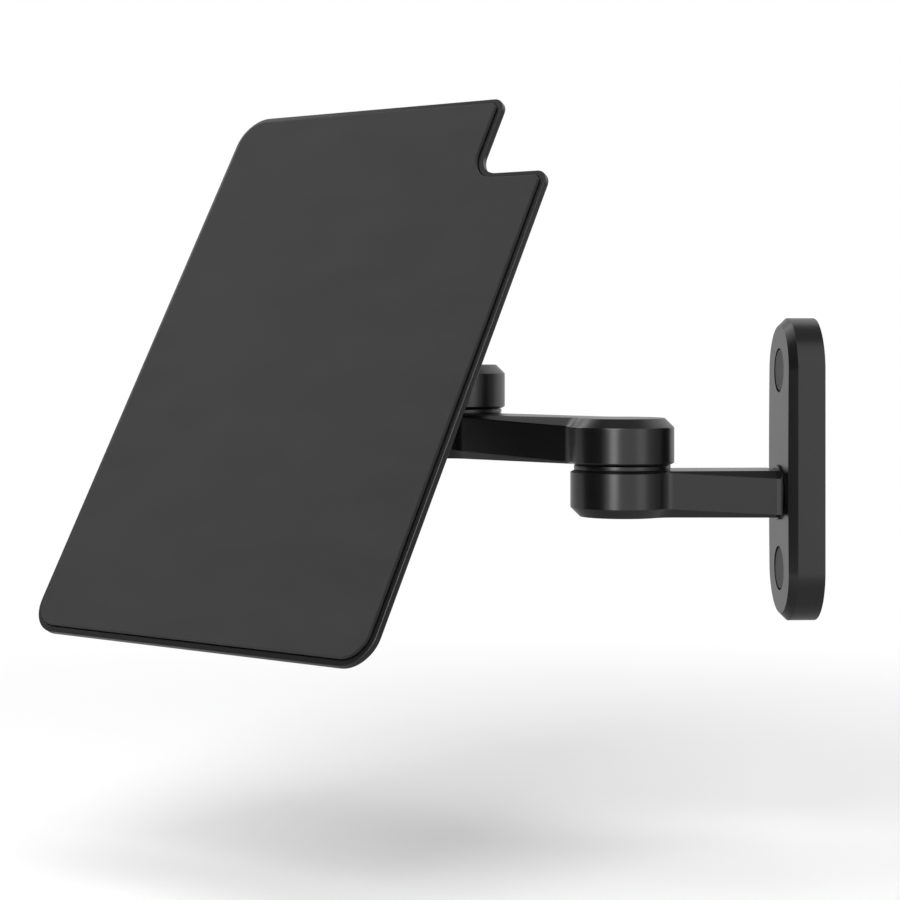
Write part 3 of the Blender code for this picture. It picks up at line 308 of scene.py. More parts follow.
class Signal:
    """A node's socket; sums and products on it add Math nodes."""

    def __init__(self, graph, socket):
        self.graph = graph
        self.socket = socket

    def math(self, operation, first, second):
        """One Math node on two values."""
        return self.graph.add("ShaderNodeMath", {"operation": operation}, {0: first, 1: second})

    def __add__(self, other):
        return self.math("ADD", self, other)

    __radd__ = __add__

    def __sub__(self, other):
        return self.math("SUBTRACT", self, other)

    def __rsub__(self, other):
        return self.math("SUBTRACT", other, self)

    def __mul__(self, other):
        return self.math("MULTIPLY", self, other)

    __rmul__ = __mul__

    def __or__(self, other):
        return self.math("MAXIMUM", self, other)

    __ror__ = __or__


class Graph:
    """A node tree that is built from nodes with their settings and values."""

    def __init__(self, tree):
        self.tree = tree

    def add(self, kind, settings, values, output=0):
        """Add a node with its settings, then the values or links of its sockets."""
        node = self.tree.nodes.new(kind)
        for key, value in settings.items():
            setattr(node, key, value)
        for key, value in values.items():
            self.feed(node.inputs[key], value)
        return None if output is None else Signal(self, node.outputs[output])

    def feed(self, socket, value):
        """Link a signal to a socket, or set its value."""
        if isinstance(value, Signal):
            self.tree.links.new(value.socket, socket)
        else:
            socket.default_value = value

    def fade(self, value, start, end):
        """A smooth step from nought at one value to one at another."""
        return self.add("ShaderNodeMapRange", {"interpolation_type": "SMOOTHSTEP"}, {
            "Value": value, "From Min": start, "From Max": end,
        }, "Result")

    def beside(self, across, outward):
        """How much a direction points at the darker side of the room."""
        return self.fade(outward, *SIDE_FADE) * self.fade(across, *SIDE_END) * SIDE_DEPTH

    def tint(self, factor, first, second):
        """A colour between two others."""
        return self.add("ShaderNodeMix", {"data_type": "RGBA"}, {
            "Factor": factor, MIX_FIRST: (*first, 1), MIX_SECOND: (*second, 1),
        }, MIX_RESULT)

    def parts(self, vector, axes):
        """The parts of a vector along some axes."""
        return [self.add("ShaderNodeSeparateXYZ", {}, {"Vector": vector}, axis) for axis in axes]

    def rays(self, kind):
        """One where a ray is of a kind, such as Is Camera Ray."""
        return self.add("ShaderNodeLightPath", {}, {}, kind)


class Finish(Graph):
    """A material on its own Principled shader."""

    def __init__(self, name):
        self.material = bpy.data.materials.new(name)
        self.material.use_nodes = True
        super().__init__(self.material.node_tree)
        self.shader = self.tree.nodes["Principled BSDF"]
        self.place = self.add("ShaderNodeTexCoord", {}, {}, "Object")

    def surface(self, **values):
        """Set the shader's sockets; an underscore stands for a space."""
        sockets = {socket.name.lower(): socket for socket in self.shader.inputs}
        for key, value in values.items():
            self.feed(sockets[key.replace("_", " ")], value)

    def noise(self, scale, detail=2.0, roughness=0.5, stretch=(1, 1, 1)):
        """Noise on the object's own coordinates, stretched along its axes."""
        spot = self.add("ShaderNodeMapping", {}, {"Vector": self.place, "Scale": stretch})
        return self.add("ShaderNodeTexNoise", {}, {
            "Vector": spot, "Scale": scale, "Detail": detail, "Roughness": roughness,
        }, "Fac")

    def bump(self, height, strength, distance):
        """Relief from a height."""
        return self.add("ShaderNodeBump", {}, {
            "Height": height, "Strength": strength, "Distance": distance,
        }, "Normal")


def lighter(tone, by):
    """A colour that is lighter by a factor."""
    return tuple(min(1.0, channel * by) for channel in tone)


def satin_black(finish, looks):
    """Blasted and dyed aluminium: fine grain, faint clouding and a soft sheen."""
    cloud = finish.noise(scale=38, detail=3, roughness=0.55)
    grain = finish.noise(scale=2600, detail=2, roughness=0.6)
    finish.surface(
        base_color=finish.tint(cloud, lighter(looks.black, 0.8), lighter(looks.black, 1.35)),
        roughness=looks.black_gloss - 0.045 + cloud * 0.07 + grain * 0.03,
        normal=finish.bump(grain, strength=0.10, distance=0.00004),
        specular_ior_level=0.6,
    )


def cap_rubber(finish, looks):
    """Moulded rubber with a fine matte skin."""
    cloud = finish.noise(scale=90, detail=3, roughness=0.6)
    grain = finish.noise(scale=3400, detail=3, roughness=0.65)
    finish.surface(
        base_color=finish.tint(cloud, lighter(looks.caps, 0.85), lighter(looks.caps, 1.3)),
        roughness=0.46 + cloud * 0.10 + grain * 0.05,
        normal=finish.bump(grain, strength=0.18, distance=0.00006),
    )


def black_plastic(finish, looks):
    """Moulded plastic with a spark-eroded texture."""
    grain = finish.noise(scale=2200, detail=4, roughness=0.7)
    cloud = finish.noise(scale=60)
    finish.surface(
        base_color=finish.tint(grain, lighter(looks.plastic, 0.8), lighter(looks.plastic, 1.3)),
        roughness=0.42 + grain * 0.08 + cloud * 0.06,
        normal=finish.bump(grain, strength=0.25, distance=0.00006),
    )


def soft_pad(finish, looks):
    """Short-napped microfibre."""
    nap = finish.noise(scale=1500, detail=4, roughness=0.75)
    brushed = finish.noise(scale=26, detail=3, stretch=(1, 1, 3))
    finish.surface(
        base_color=finish.tint(brushed * 0.5 + nap * 0.5, lighter(looks.pad, 0.5),
                               lighter(looks.pad, 1.5)),
        roughness=0.80 + nap * 0.15,
        normal=finish.bump(nap, strength=0.45, distance=0.0002),
        specular_ior_level=0.25,
        sheen_weight=0.12,
        sheen_roughness=0.5,
    )


def bare_steel(finish, looks):
    """Turned steel with fine drawn lines."""
    lines = finish.noise(scale=240, detail=3, roughness=0.6, stretch=(1, 1, 14))
    cloud = finish.noise(scale=70)
    finish.surface(
        base_color=finish.tint(cloud, lighter(looks.steel, 0.88), lighter(looks.steel, 1.08)),
        metallic=1.0,
        roughness=0.22 + lines * 0.16 + cloud * 0.05,
        normal=finish.bump(lines, strength=0.12, distance=0.00004),
    )


MATERIAL_MAKERS = {
    "black_metal": satin_black,
    "cap_rubber": cap_rubber,
    "black_plastic": black_plastic,
    "soft_pad": soft_pad,
    "bright_steel": bare_steel,
}


def material_for(slot):
    """The finished material of one of the record's slots, made once."""
    name = f"finished_{slot}"
    if name not in bpy.data.materials:
        MATERIAL_MAKERS[slot](Finish(name), bpy.context.scene.swing_arm.finishes)
    return bpy.data.materials[name]


# Shapes

def drawn(bm, vert, point):
    """Draw a straight line from a vertex, and give its end."""
    end = bmesh.ops.extrude_vert_indiv(bm, verts=[vert])["verts"][0]
    end.co = point
    return end


def swept(bm, vert, centre, degrees, steps):
    """Draw an arc from a vertex, and give its end."""
    made = bmesh.ops.spin(bm, geom=[vert], cent=(*centre, vert.co.z), axis=UP,
                          angle=math.radians(degrees), steps=steps)
    return next(item for item in made["geom_last"] if isinstance(item, bmesh.types.BMVert))


def filled_halves(bm):
    """Mirror half a plan over the Y axis, and fill it."""
    everything = list(bm.verts) + list(bm.edges)
    bmesh.ops.mirror(bm, geom=everything, axis="X", merge_dist=MERGE)
    bmesh.ops.remove_doubles(bm, verts=bm.verts, dist=MERGE)
    return bmesh.ops.edgeloop_fill(bm, edges=bm.edges)["faces"][0]


def raised(bm, face, low, high):
    """A prism on a flat face; gives its bottom and top caps."""
    bmesh.ops.translate(bm, verts=face.verts, vec=(0, 0, low))
    made = bmesh.ops.extrude_face_region(bm, geom=[face])["geom"]
    top = next(item for item in made if isinstance(item, bmesh.types.BMFace))
    bmesh.ops.translate(bm, verts=top.verts, vec=(0, 0, high - low))
    bmesh.ops.recalc_face_normals(bm, faces=bm.faces)
    return face, top


def lathe(points, steps=TURN_STEPS, ring=False):
    """A body turned about Z from (radius, height) points; a ring's profile is closed."""
    bm = bmesh.new()
    verts = [bm.verts.new((radius, 0, height)) for radius, height in points]
    edges = [bm.edges.new(pair) for pair in zip(verts, verts[1:])]
    if ring:
        edges.append(bm.edges.new((verts[-1], verts[0])))
    bmesh.ops.spin(bm, geom=verts + edges, cent=(0, 0, 0), axis=UP, angle=math.tau, steps=steps,
                   use_merge=True)
    bmesh.ops.remove_doubles(bm, verts=bm.verts, dist=MERGE)
    bmesh.ops.recalc_face_normals(bm, faces=bm.faces)
    return bm


def rod(radius, low, high, steps=TURN_STEPS):
    """A plain round tool between two heights."""
    return lathe([(0, high), (radius, high), (radius, low), (0, low)], steps)


def stepped(top, *steps):
    """A round tool from the top down, with the (radius, bottom) of each step."""
    points = [(0, top)]
    for radius, bottom in steps:
        points += [(radius, top), (radius, bottom)]
        top = bottom
    return lathe([*points, (0, top)])


def washer(inner, outer, low, high):
    """A flat ring between two heights."""
    return lathe([(inner, low), (outer, low), (outer, high), (inner, high)], ring=True)


def box(low, high):
    """A box between two corners."""
    bm = bmesh.new()
    bmesh.ops.create_cube(bm, size=1)
    middle = (Vector(low) + Vector(high)) / 2
    bmesh.ops.scale(bm, verts=bm.verts, vec=Vector(high) - Vector(low))
    bmesh.ops.translate(bm, verts=bm.verts, vec=middle)
    return bm


def opening(half_size, middle, low, high):
    """A box between two heights, centred on X = 0 and on a middle along Y."""
    half_width, half_height = half_size
    return box((-half_width, middle - half_height, low), (half_width, middle + half_height, high))


def moved(bm, place):
    """The same shape in another place."""
    bmesh.ops.transform(bm, matrix=place, verts=bm.verts)
    return bm


def bevel(bm, geom, offset, segments=1, affect="EDGES", clamp=False):
    """Bevel some edges or corners."""
    bmesh.ops.bevel(bm, geom=geom, offset=offset, offset_type="OFFSET", segments=segments,
                    profile=0.5, affect=affect, clamp_overlap=clamp, material=-1)


def soften(bm, radius, segments=3, wanted=lambda edge: True):
    """Round the edges where two faces meet at a clear angle."""
    bm.normal_update()
    edges = [
        edge for edge in bm.edges
        if edge.is_manifold and edge.calc_face_angle() > SOFT_ANGLE and wanted(edge)
    ]
    bevel(bm, edges, radius, segments, clamp=True)
    return bm


def divide(bm, faces, point):
    """Cut faces along a plane through a point, across the Y axis."""
    edges = {edge for face in faces for edge in face.edges}
    verts = {vert for face in faces for vert in face.verts}
    bmesh.ops.bisect_plane(bm, geom=[*faces, *edges, *verts], dist=MERGE, plane_co=point,
                           plane_no=(0, 1, 0))


def linked(name, data):
    """A new object in the scene with its data."""
    item = bpy.data.objects.new(name, data)
    bpy.context.scene.collection.objects.link(item)
    return item


def holding(bm, name):
    """A new object in the scene that holds a shape."""
    mesh = bpy.data.meshes.new(name)
    bm.to_mesh(mesh)
    bm.free()
    return linked(name, mesh)


def combined(bm, operation, *tools):
    """The shape with the tools cut from it, or joined to it."""
    body = holding(bm, "shape")
    helpers = [holding(tool, "tool") for tool in tools]
    for helper in helpers:
        change = body.modifiers.new("change", "BOOLEAN")
        change.operation = operation
        change.solver = "EXACT"
        change.object = helper
    result = bmesh.new()
    result.from_object(body, bpy.context.evaluated_depsgraph_get())
    for item in (body, *helpers):
        bpy.data.objects.remove(item)
    return result


def key_value(keys, distance):
    """Width and height at a distance, from (distance, width, height) keys."""
    before = keys[0]
    for after in keys:
        if distance <= after[0]:
            reach = after[0] - before[0]
            part = (distance - before[0]) / reach if reach > 0 else 0
            return [a + (b - a) * part for a, b in zip(before[1:], after[1:])]
        before = after
    return before[1:]


def inward_direction(vert):
    """Direction into a prism at a rim's corner, long enough to keep a chamfer's width even."""
    sides = [face.normal for face in vert.link_faces if abs(face.normal.z) < STEEP]
    outward = sum(sides, Vector()).normalized()
    return -outward / outward.dot(sides[0])


def growing_chamfer(bm, cap, keys):
    """Chamfer a cap's rim by a width and height that change along the bar."""
    bm.normal_update()
    side = cap.normal.z
    rim = {vert: inward_direction(vert) for vert in cap.verts}
    made = bmesh.ops.extrude_face_region(bm, geom=[cap])["geom"]
    bmesh.ops.delete(bm, geom=[cap], context="FACES_ONLY")
    inner = next(item for item in made if isinstance(item, bmesh.types.BMFace))
    for vert in inner.verts:
        outer = next(edge.other_vert(vert) for edge in vert.link_edges
                     if edge.other_vert(vert) in rim)
        width, height = key_value(keys, outer.co.y)
        vert.co = outer.co + rim[outer] * width
        outer.co.z -= side * height
    bm.normal_update()


def hub_and_fillet(bm, arms, half_width, slope):
    """Draw a hub's right side and its fillet from the hub's outermost point."""
    lean = math.hypot(1.0, slope)
    offset = half_width + arms.fillet * lean
    reach = HUB_RADIUS + arms.fillet
    half_b = offset * slope
    along = (math.sqrt(half_b ** 2 - lean ** 2 * (offset ** 2 - reach ** 2)) - half_b) / lean ** 2
    centre = (offset + slope * along, along)
    on_hub = math.degrees(math.atan2(centre[1], centre[0]))
    start = bm.verts.new((0, -HUB_RADIUS, 0))
    joint = swept(bm, start, (0, 0), 90 + on_hub, HUB_STEPS // 2)
    fillet = on_hub + math.degrees(math.atan(slope))
    return swept(bm, joint, centre, -fillet, FILLET_STEPS)


def fillet_end(arms, half_width):
    """Distance from a hub's centre to the end of its fillet on a bar so wide."""
    return math.sqrt((HUB_RADIUS + arms.fillet) ** 2 - (half_width + arms.fillet) ** 2)


def bar_plan(bm, near, far):
    """Divide a bar's long side, then fill the plan on both sides."""
    bmesh.ops.subdivide_edges(bm, edges=[bm.edges.get((near, far))], cuts=BAR_CUTS)
    return bm, filled_halves(bm)


def two_hub_plan(arms, length):
    """Plan of a bar with a hub at both ends, as one flat face."""
    slope = (arms.half_at_end - arms.half_at_hub) / length
    bm = bmesh.new()
    far = hub_and_fillet(bm, arms, arms.half_at_end, -slope)
    for vert in bm.verts:
        vert.co.y = length - vert.co.y
    near = hub_and_fillet(bm, arms, arms.half_at_hub, slope)
    bm.edges.new((near, far))
    return bar_plan(bm, near, far)


def one_hub_plan(arms, length, half_width, corner=0):
    """Plan of a bar with one hub and a square end, with round corners or a slight taper."""
    slope = (half_width - arms.half_at_hub) / length
    bm = bmesh.new()
    near = hub_and_fillet(bm, arms, arms.half_at_hub, slope)
    if corner:
        turn = math.atan(slope)
        x, y = half_width - corner, length - corner
        side = (x + corner * math.cos(turn), y - corner * math.sin(turn), 0)
        far = drawn(bm, near, side)
        end = swept(bm, far, (x, y), 90 + math.degrees(turn), FILLET_STEPS // 2)
    else:
        far = end = drawn(bm, near, (half_width, length - arms.end_taper, 0))
        taper = arms.end_taper - TAPER_START - arms.end_bevel
        for lean, reach in ((TAPER / 2, TAPER_START), (TAPER, taper), (TAPER, arms.end_bevel)):
            end = drawn(bm, end, end.co + Vector((-math.tan(lean) * reach, reach, 0)))
    drawn(bm, end, (0, length, 0))
    return bar_plan(bm, near, far)


def ring_side(arms, *beyond):
    """Keys of a chamfer that is small round the hub, and of what follows along the bar."""
    start = fillet_end(arms, arms.half_at_hub)
    return [
        (start - arms.fillet / 2, arms.rim_width, arms.rim_height),
        (start, arms.edge_width, arms.rim_height),
        *beyond,
    ]


def open_side(arms, *beyond):
    """Keys of a chamfer that is full round the hub, and of what follows along the bar."""
    start = fillet_end(arms, arms.half_at_hub)
    return [
        (start - arms.fillet / 2, arms.hub_chamfer, arms.hub_chamfer),
        (start, arms.bar_near, arms.bar_near),
        *beyond,
    ]


def shaped_bar(plan, low, high, low_keys, high_keys, edge_round):
    """A bar between two heights, with its chamfers and softened edges."""
    bm, face = plan
    bottom, top = raised(bm, face, low, high)
    growing_chamfer(bm, bottom, low_keys)
    growing_chamfer(bm, top, high_keys)
    return soften(bm, edge_round)


def on_axis(joint):
    """Frame on an upright joint's axis; heights stay the world's."""
    return Matrix.Translation((joint.x, joint.y, 0))


def placed(joint, along):
    """Frame on an upright joint's axis with +Y along a bar."""
    ahead = Vector((along.x, along.y, 0)).normalized()
    columns = Matrix((ahead.cross(UP), ahead, UP)).transposed().to_4x4()
    return on_axis(joint) @ columns


def face_frame():
    """Frame on the tilt axis, with +Z out of the holder's face and +X along the axis."""
    upward = FACE_AXIS.cross(TILT_AXIS)
    columns = Matrix((TILT_AXIS, upward, FACE_AXIS)).transposed().to_4x4()
    return Matrix.Translation(TILT) @ columns


def plate_frame():
    """Frame on the wall plate's back with +Z out of its front, and +Y up."""
    return Matrix.Rotation(math.radians(90), 4, "X")


def add_piece(name, bm, place, body, slot, *nodes):
    """Put a finished shape on its body, in place of its CAD nodes."""
    moved(bm, place)
    bmesh.ops.remove_doubles(bm, verts=bm.verts, dist=MERGE)
    bmesh.ops.recalc_face_normals(bm, faces=bm.faces)
    item = holding(bm, name)
    item.data.shade_smooth()
    item.data.set_sharp_from_angle(angle=SHARP_ANGLE)
    item.data.materials.append(material_for(slot))
    shading = item.modifiers.new("Face shading", "WEIGHTED_NORMAL")
    shading.keep_sharp = True
    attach(item, body)
    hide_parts(*nodes)
    return item


# Operators

class SWINGARM_OT_wall_plate(bpy.types.Operator):
    """Make the crowned wall plate"""
    bl_idname = "swing_arm.wall_plate"
    bl_label = "Wall plate"

    def execute(self, context):
        plate = context.scene.swing_arm.plate
        low, high = PLATE_BOX
        half_width = (high.x - low.x) / 2
        cap_place = high.z - half_width
        depth = -low.y - plate.crown
        bm = bmesh.new()
        start = bm.verts.new((0, -high.z, 0))
        side = swept(bm, start, (0, -cap_place), 90, HUB_STEPS // 4)
        other = drawn(bm, side, (half_width, cap_place, 0))
        swept(bm, other, (0, cap_place), 90, HUB_STEPS // 4)
        bottom, top = raised(bm, filled_halves(bm), 0, depth)
        bevel(bm, list(top.edges), plate.chamfer)
        bevel(bm, list(bottom.edges), plate.back_bevel, 2)
        self.crown(bm, depth, plate.crown, high.z)
        soften(bm, plate.edge_round, wanted=lambda edge: edge.verts[0].co.z > plate.chamfer)
        fronts = depth + plate.crown + CUT_EXTRA
        cap_floor = -CAP_BOX[0].y - plate.cap_thickness - SEAT_GAP
        tools = []
        for place in (cap_place, -cap_place):
            pocket = stepped(fronts, (plate.cap_radius + plate.cap_gap, cap_floor),
                             SCREW_HEAD, (SCREW_HOLE, -CUT_EXTRA))
            tools.append(moved(pocket, Matrix.Translation((0, place, 0))))
        tools.append(opening(TONGUE_ROOM, REAR_MIDDLE, CLAMP_DEPTH / 2, fronts))
        tools.append(opening(CLAMP_ROOM, REAR_MIDDLE, -CUT_EXTRA, CLAMP_DEPTH))
        bm = combined(bm, "DIFFERENCE", *tools)
        add_piece("plate_body", bm, plate_frame(), "wall_bracket", "black_metal", "wall_plate")
        return {"FINISHED"}

    def crown(self, bm, depth, crown, half_height):
        """Divide the flat front into level rows, and raise them to a shallow arch."""
        for row in range(1, CROWN_ROWS):
            level = half_height * (2 * row / CROWN_ROWS - 1)
            divide(bm, [face for face in bm.faces if face.normal.z > LEVEL], (0, level, 0))
        for vert in bm.verts:
            if vert.co.z > depth - MERGE:
                vert.co.z += crown * (1 - (vert.co.y / half_height) ** 2)


class SWINGARM_OT_caps(bpy.types.Operator):
    """Make the two round caps on the wall plate"""
    bl_idname = "swing_arm.caps"
    bl_label = "Screw caps"

    def execute(self, context):
        plate = context.scene.swing_arm.plate
        for name in ("upper", "lower"):
            low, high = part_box(f"{name}_screw_cap")
            face = -low.y
            back = face - plate.cap_thickness
            inside = SKIRT_RADIUS - plate.skirt_wall
            bm = lathe([
                (0, face - plate.cap_dish),
                *((plate.cap_radius * out, face - plate.cap_dish * down)
                  for out, down in DISH_RIM),
                (plate.cap_radius, face),
                (plate.cap_radius, back),
                (SKIRT_RADIUS, back),
                (SKIRT_RADIUS, back - plate.skirt_length),
                (inside, back - plate.skirt_length),
                (inside, back),
                (0, back),
            ])
            soften(bm, plate.cap_round)
            place = plate_frame() @ Matrix.Translation((0, (low.z + high.z) / 2, 0))
            add_piece(f"cap_{name}", bm, place, "wall_bracket", "cap_rubber", f"{name}_screw_cap")
        return {"FINISHED"}


class SWINGARM_OT_rings(bpy.types.Operator):
    """Make the thin rings between the hubs and behind the rear arm"""
    bl_idname = "swing_arm.rings"
    bl_label = "Rings"

    def execute(self, context):
        for name, place, body in (("elbow_ring", ELBOW, "wall_bracket"),
                                  ("head_ring", HEAD, "front_arm")):
            low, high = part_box(name)
            bm = washer(RING_BORE, RING_RADIUS, low.z, high.z)
            soften(bm, RING_ROUND, 2)
            add_piece(f"{name}_turned", bm, on_axis(place), body, "black_metal", name)
        low, high = WALL_RING_BOX
        bm = rod((high.x - low.x) / 2, -high.y, -low.y)
        soften(bm, WALL_RING_ROUND, 2)
        bm = combined(bm, "DIFFERENCE", opening(TONGUE_ROOM, 0, 0, CUT_THROUGH))
        spot = plate_frame() @ Matrix.Translation((0, REAR_MIDDLE, 0))
        add_piece("wall_ring_turned", bm, spot, "wall_bracket", "black_metal", "wall_ring")
        return {"FINISHED"}


def hub_bore(level):
    """Tool for the stepped bore of a hub whose flat top is at a level."""
    return stepped(level + CUT_EXTRA, (BUSH_SEAT, level - BUSH_SEAT_DEPTH),
                   (BUSH_BORE, level - FOOT_ROOM_LEVEL),
                   (FOOT_ROOM, level - ARM_HEIGHT - CUT_EXTRA))


def stud_bore(level):
    """Tool for the blind bore of a hub whose underside is at a level."""
    return rod(STUD_BORE, level - CUT_EXTRA, level + STUD_DEPTH)


class SWINGARM_OT_rear_arm(bpy.types.Operator):
    """Make the arm that is fixed to the wall plate"""
    bl_idname = "swing_arm.rear_arm"
    bl_label = "Rear arm"

    def execute(self, context):
        arms = context.scene.swing_arm.arms
        low, high = REAR_BOX
        length = WALL_RING_BOX[0].y - SEAT_GAP - ELBOW.y
        end = length - arms.end_bevel
        far = (length, arms.end_bevel, arms.end_bevel)
        bm = shaped_bar(
            one_hub_plan(arms, length, arms.half_at_end),
            low.z, high.z,
            open_side(arms, (end, arms.bar_far, arms.bar_far), far),
            ring_side(arms, (end, arms.grown_width, arms.grown_height), far),
            arms.edge_round,
        )
        half_width, half_height = TONGUE
        tongue = box((-half_width, length - TONGUE_ROOT, REAR_MIDDLE - half_height),
                     (half_width, -ELBOW.y - CLAMP_DEPTH, REAR_MIDDLE + half_height))
        bm = combined(bm, "UNION", tongue)
        tools = [hub_bore(high.z)]
        along = Matrix.Rotation(math.radians(-90), 4, "X")
        for name in ("arm_screw_left", "arm_screw_right"):
            tip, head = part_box(name)
            bore = rod(ARM_SCREW_BORE, tip.y - SEAT_GAP - ELBOW.y, -ELBOW.y)
            spot = Matrix.Translation(((tip.x + head.x) / 2, 0, REAR_MIDDLE))
            tools.append(moved(bore, spot @ along))
        bm = combined(bm, "DIFFERENCE", *tools)
        add_piece("rear_arm_body", bm, placed(ELBOW, Vector((0, 1, 0))), "wall_bracket",
                  "black_metal", "rear_arm")
        return {"FINISHED"}


class SWINGARM_OT_front_arm(bpy.types.Operator):
    """Make the arm between the elbow and the head"""
    bl_idname = "swing_arm.front_arm"
    bl_label = "Front arm"

    def execute(self, context):
        arms = context.scene.swing_arm.arms
        low, high = FRONT_BOX
        end = FRONT_LENGTH - fillet_end(arms, arms.half_at_end)
        turn = end + arms.fillet / 2
        bm = shaped_bar(
            two_hub_plan(arms, FRONT_LENGTH),
            low.z, high.z,
            ring_side(arms, (end, arms.grown_width, arms.grown_height),
                      (turn, arms.hub_chamfer, arms.hub_chamfer)),
            open_side(arms, (end, arms.bar_far, arms.bar_far),
                      (turn, arms.rim_width, arms.rim_height)),
            arms.edge_round,
        )
        far_bore = moved(hub_bore(high.z), Matrix.Translation((0, FRONT_LENGTH, 0)))
        bm = combined(bm, "DIFFERENCE", stud_bore(low.z), far_bore)
        add_piece("front_arm_body", bm, placed(ELBOW, HEAD - ELBOW), "front_arm",
                  "black_metal", "front_arm")
        return {"FINISHED"}


class SWINGARM_OT_head_link(bpy.types.Operator):
    """Make the head's hub with its fork"""
    bl_idname = "swing_arm.head_link"
    bl_label = "Head link"

    def execute(self, context):
        arms = context.scene.swing_arm.arms
        tilt = context.scene.swing_arm.tilt
        low, high = LINK_BOX
        middle = (low.z + high.z) / 2
        half_width = tilt.slot_half + tilt.ear
        length = LINK_LENGTH + KNUCKLE_RADIUS
        thin = (length, arms.bar_far, arms.bar_far)
        bm = shaped_bar(
            one_hub_plan(arms, length, half_width, tilt.fork_corner),
            low.z, high.z,
            ring_side(arms, thin),
            open_side(arms, thin),
            arms.edge_round,
        )
        self.round_fork(bm, middle)
        pivot = Matrix.Translation((0, LINK_LENGTH, middle))
        across = pivot @ Matrix.Rotation(math.radians(90), 4, "Y")
        outside = half_width + CUT_EXTRA
        reach = KNUCKLE_RADIUS + CUT_EXTRA
        slot = box((-tilt.slot_half, -KNUCKLE_RADIUS - tilt.slot_floor, -reach),
                   (tilt.slot_half, reach, reach))
        seat = half_width - PIN_HEAD_DEPTH
        pin = stepped(outside, (PIN_HEAD_ROOM, seat), (PIN_BORE, -seat),
                      (PIN_HEAD_ROOM, -outside))
        bm = combined(bm, "DIFFERENCE", moved(slot, pivot), moved(pin, across),
                      stud_bore(low.z))
        add_piece("head_link_body", bm, placed(HEAD, TILT - HEAD), "head_link",
                  "black_metal", "head_link")
        return {"FINISHED"}

    def round_fork(self, bm, middle):
        """Divide the fork's end into rows, and close them in round the tilt axis."""
        for row in range(FORK_ROWS):
            reach = KNUCKLE_RADIUS * math.sin(math.radians(90 * row / FORK_ROWS))
            divide(bm, bm.faces, (0, LINK_LENGTH + reach, 0))
        for vert in bm.verts:
            reach = (vert.co.y - LINK_LENGTH) / KNUCKLE_RADIUS
            if reach > 0:
                height = max(math.sqrt(max(1 - reach ** 2, 0)), FORK_TIP)
                vert.co.z = middle + (vert.co.z - middle) * height


class SWINGARM_OT_hub_feet(bpy.types.Operator):
    """Make the caps that close the hubs from below"""
    bl_idname = "swing_arm.hub_feet"
    bl_label = "Hub caps"

    def execute(self, context):
        for name, place, body in (("elbow", ELBOW, "wall_bracket"), ("head", HEAD, "front_arm")):
            low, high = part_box(f"{name}_bottom_cap")
            radius = (high.x - low.x) / 2
            skirt = radius - FOOT_SKIRT
            floor = high.z - FOOT_FLOOR
            dish = low.z + FOOT_DISH
            rim, dish_edge = (radius * part for part in FOOT_RIM)
            bm = lathe([
                (0, floor), (skirt, floor), (skirt, high.z), (radius, high.z), (radius, low.z),
                (rim, low.z), (dish_edge, dish), (0, dish),
            ])
            soften(bm, FOOT_ROUND, 2)
            add_piece(f"{name}_foot_cap", bm, on_axis(place), body, "black_plastic",
                      f"{name}_bottom_cap")
        return {"FINISHED"}


class SWINGARM_OT_tilt_joint(bpy.types.Operator):
    """Make the knuckle with its flange, and the covers over the tilt pin"""
    bl_idname = "swing_arm.tilt_joint"
    bl_label = "Tilt joint"

    def execute(self, context):
        tilt = context.scene.swing_arm.tilt
        across = Matrix.Rotation(math.radians(90), 4, "Y")
        half = tilt.knuckle_half
        bm = bmesh.new()
        start = bm.verts.new((0, -KNUCKLE_RADIUS, 0))
        side = swept(bm, start, (0, 0), 90, HUB_STEPS // 4)
        front = drawn(bm, side, (KNUCKLE_RADIUS, (tilt.flange_back + tilt.flange_front) / 2, 0))
        drawn(bm, front, (0, front.co.y, 0))
        raised(bm, filled_halves(bm), -half, half)
        soften(bm, KNUCKLE_ROUND, 3, lambda edge: min(vert.co.y for vert in edge.verts) < 0)
        moved(bm, UPENDED)
        flange = rod(tilt.flange_radius, tilt.flange_back, tilt.flange_front)
        under_front = tilt.flange_front - MERGE
        soften(flange, tilt.flange_round, 4, lambda edge: edge.verts[0].co.z < under_front)
        bm = combined(bm, "UNION", flange)
        bore = moved(rod(TILT_BORE, -2 * half, 2 * half), across)
        screw = rod(TURN_SCREW_BORE, TURN_SCREW_TIP, tilt.flange_front + CUT_EXTRA)
        bm = combined(bm, "DIFFERENCE", bore, screw)
        add_piece("tilt_block_body", bm, face_frame(), "tilt_block", "black_metal", "tilt_block")

        half_width = tilt.slot_half + tilt.ear
        pivot = placed(HEAD, TILT - HEAD) @ Matrix.Translation((0, LINK_LENGTH, TILT.z))
        face = half_width - COVER_SINK
        dish, back = face - COVER_DISH, face - COVER_THICKNESS
        dish_edge, rim = (tilt.cover_radius * part for part in COVER_RIM)
        for name, side in (("left", -1), ("right", 1)):
            bm = lathe([
                (0, dish), (dish_edge, dish), (rim, face), (tilt.cover_radius, face),
                (tilt.cover_radius, back), (0, back),
            ])
            soften(bm, THIN_ROUND, 2)
            spot = pivot @ Matrix.Rotation(math.radians(side * 90), 4, "Y")
            centre = spot @ Vector((0, 0, face))
            node = min(("left", "right"), key=lambda which: (cover_middle(which) - centre).length)
            add_piece(f"pin_cover_{name}", bm, spot, "head_link", "black_plastic",
                      f"tilt_cover_{node}")
        low = tilt.flange_front + SEAT_GAP
        ring = washer(*TURN_RING, low, low + TURN_RING_THICKNESS)
        soften(ring, THIN_ROUND, 2)
        add_piece("turn_ring_turned", ring, face_frame(), "tilt_block", "black_plastic",
                  "turn_ring")
        return {"FINISHED"}


def cover_middle(side):
    """Middle of one of the tilt pin's covers."""
    low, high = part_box(f"tilt_cover_{side}")
    return (low + high) / 2


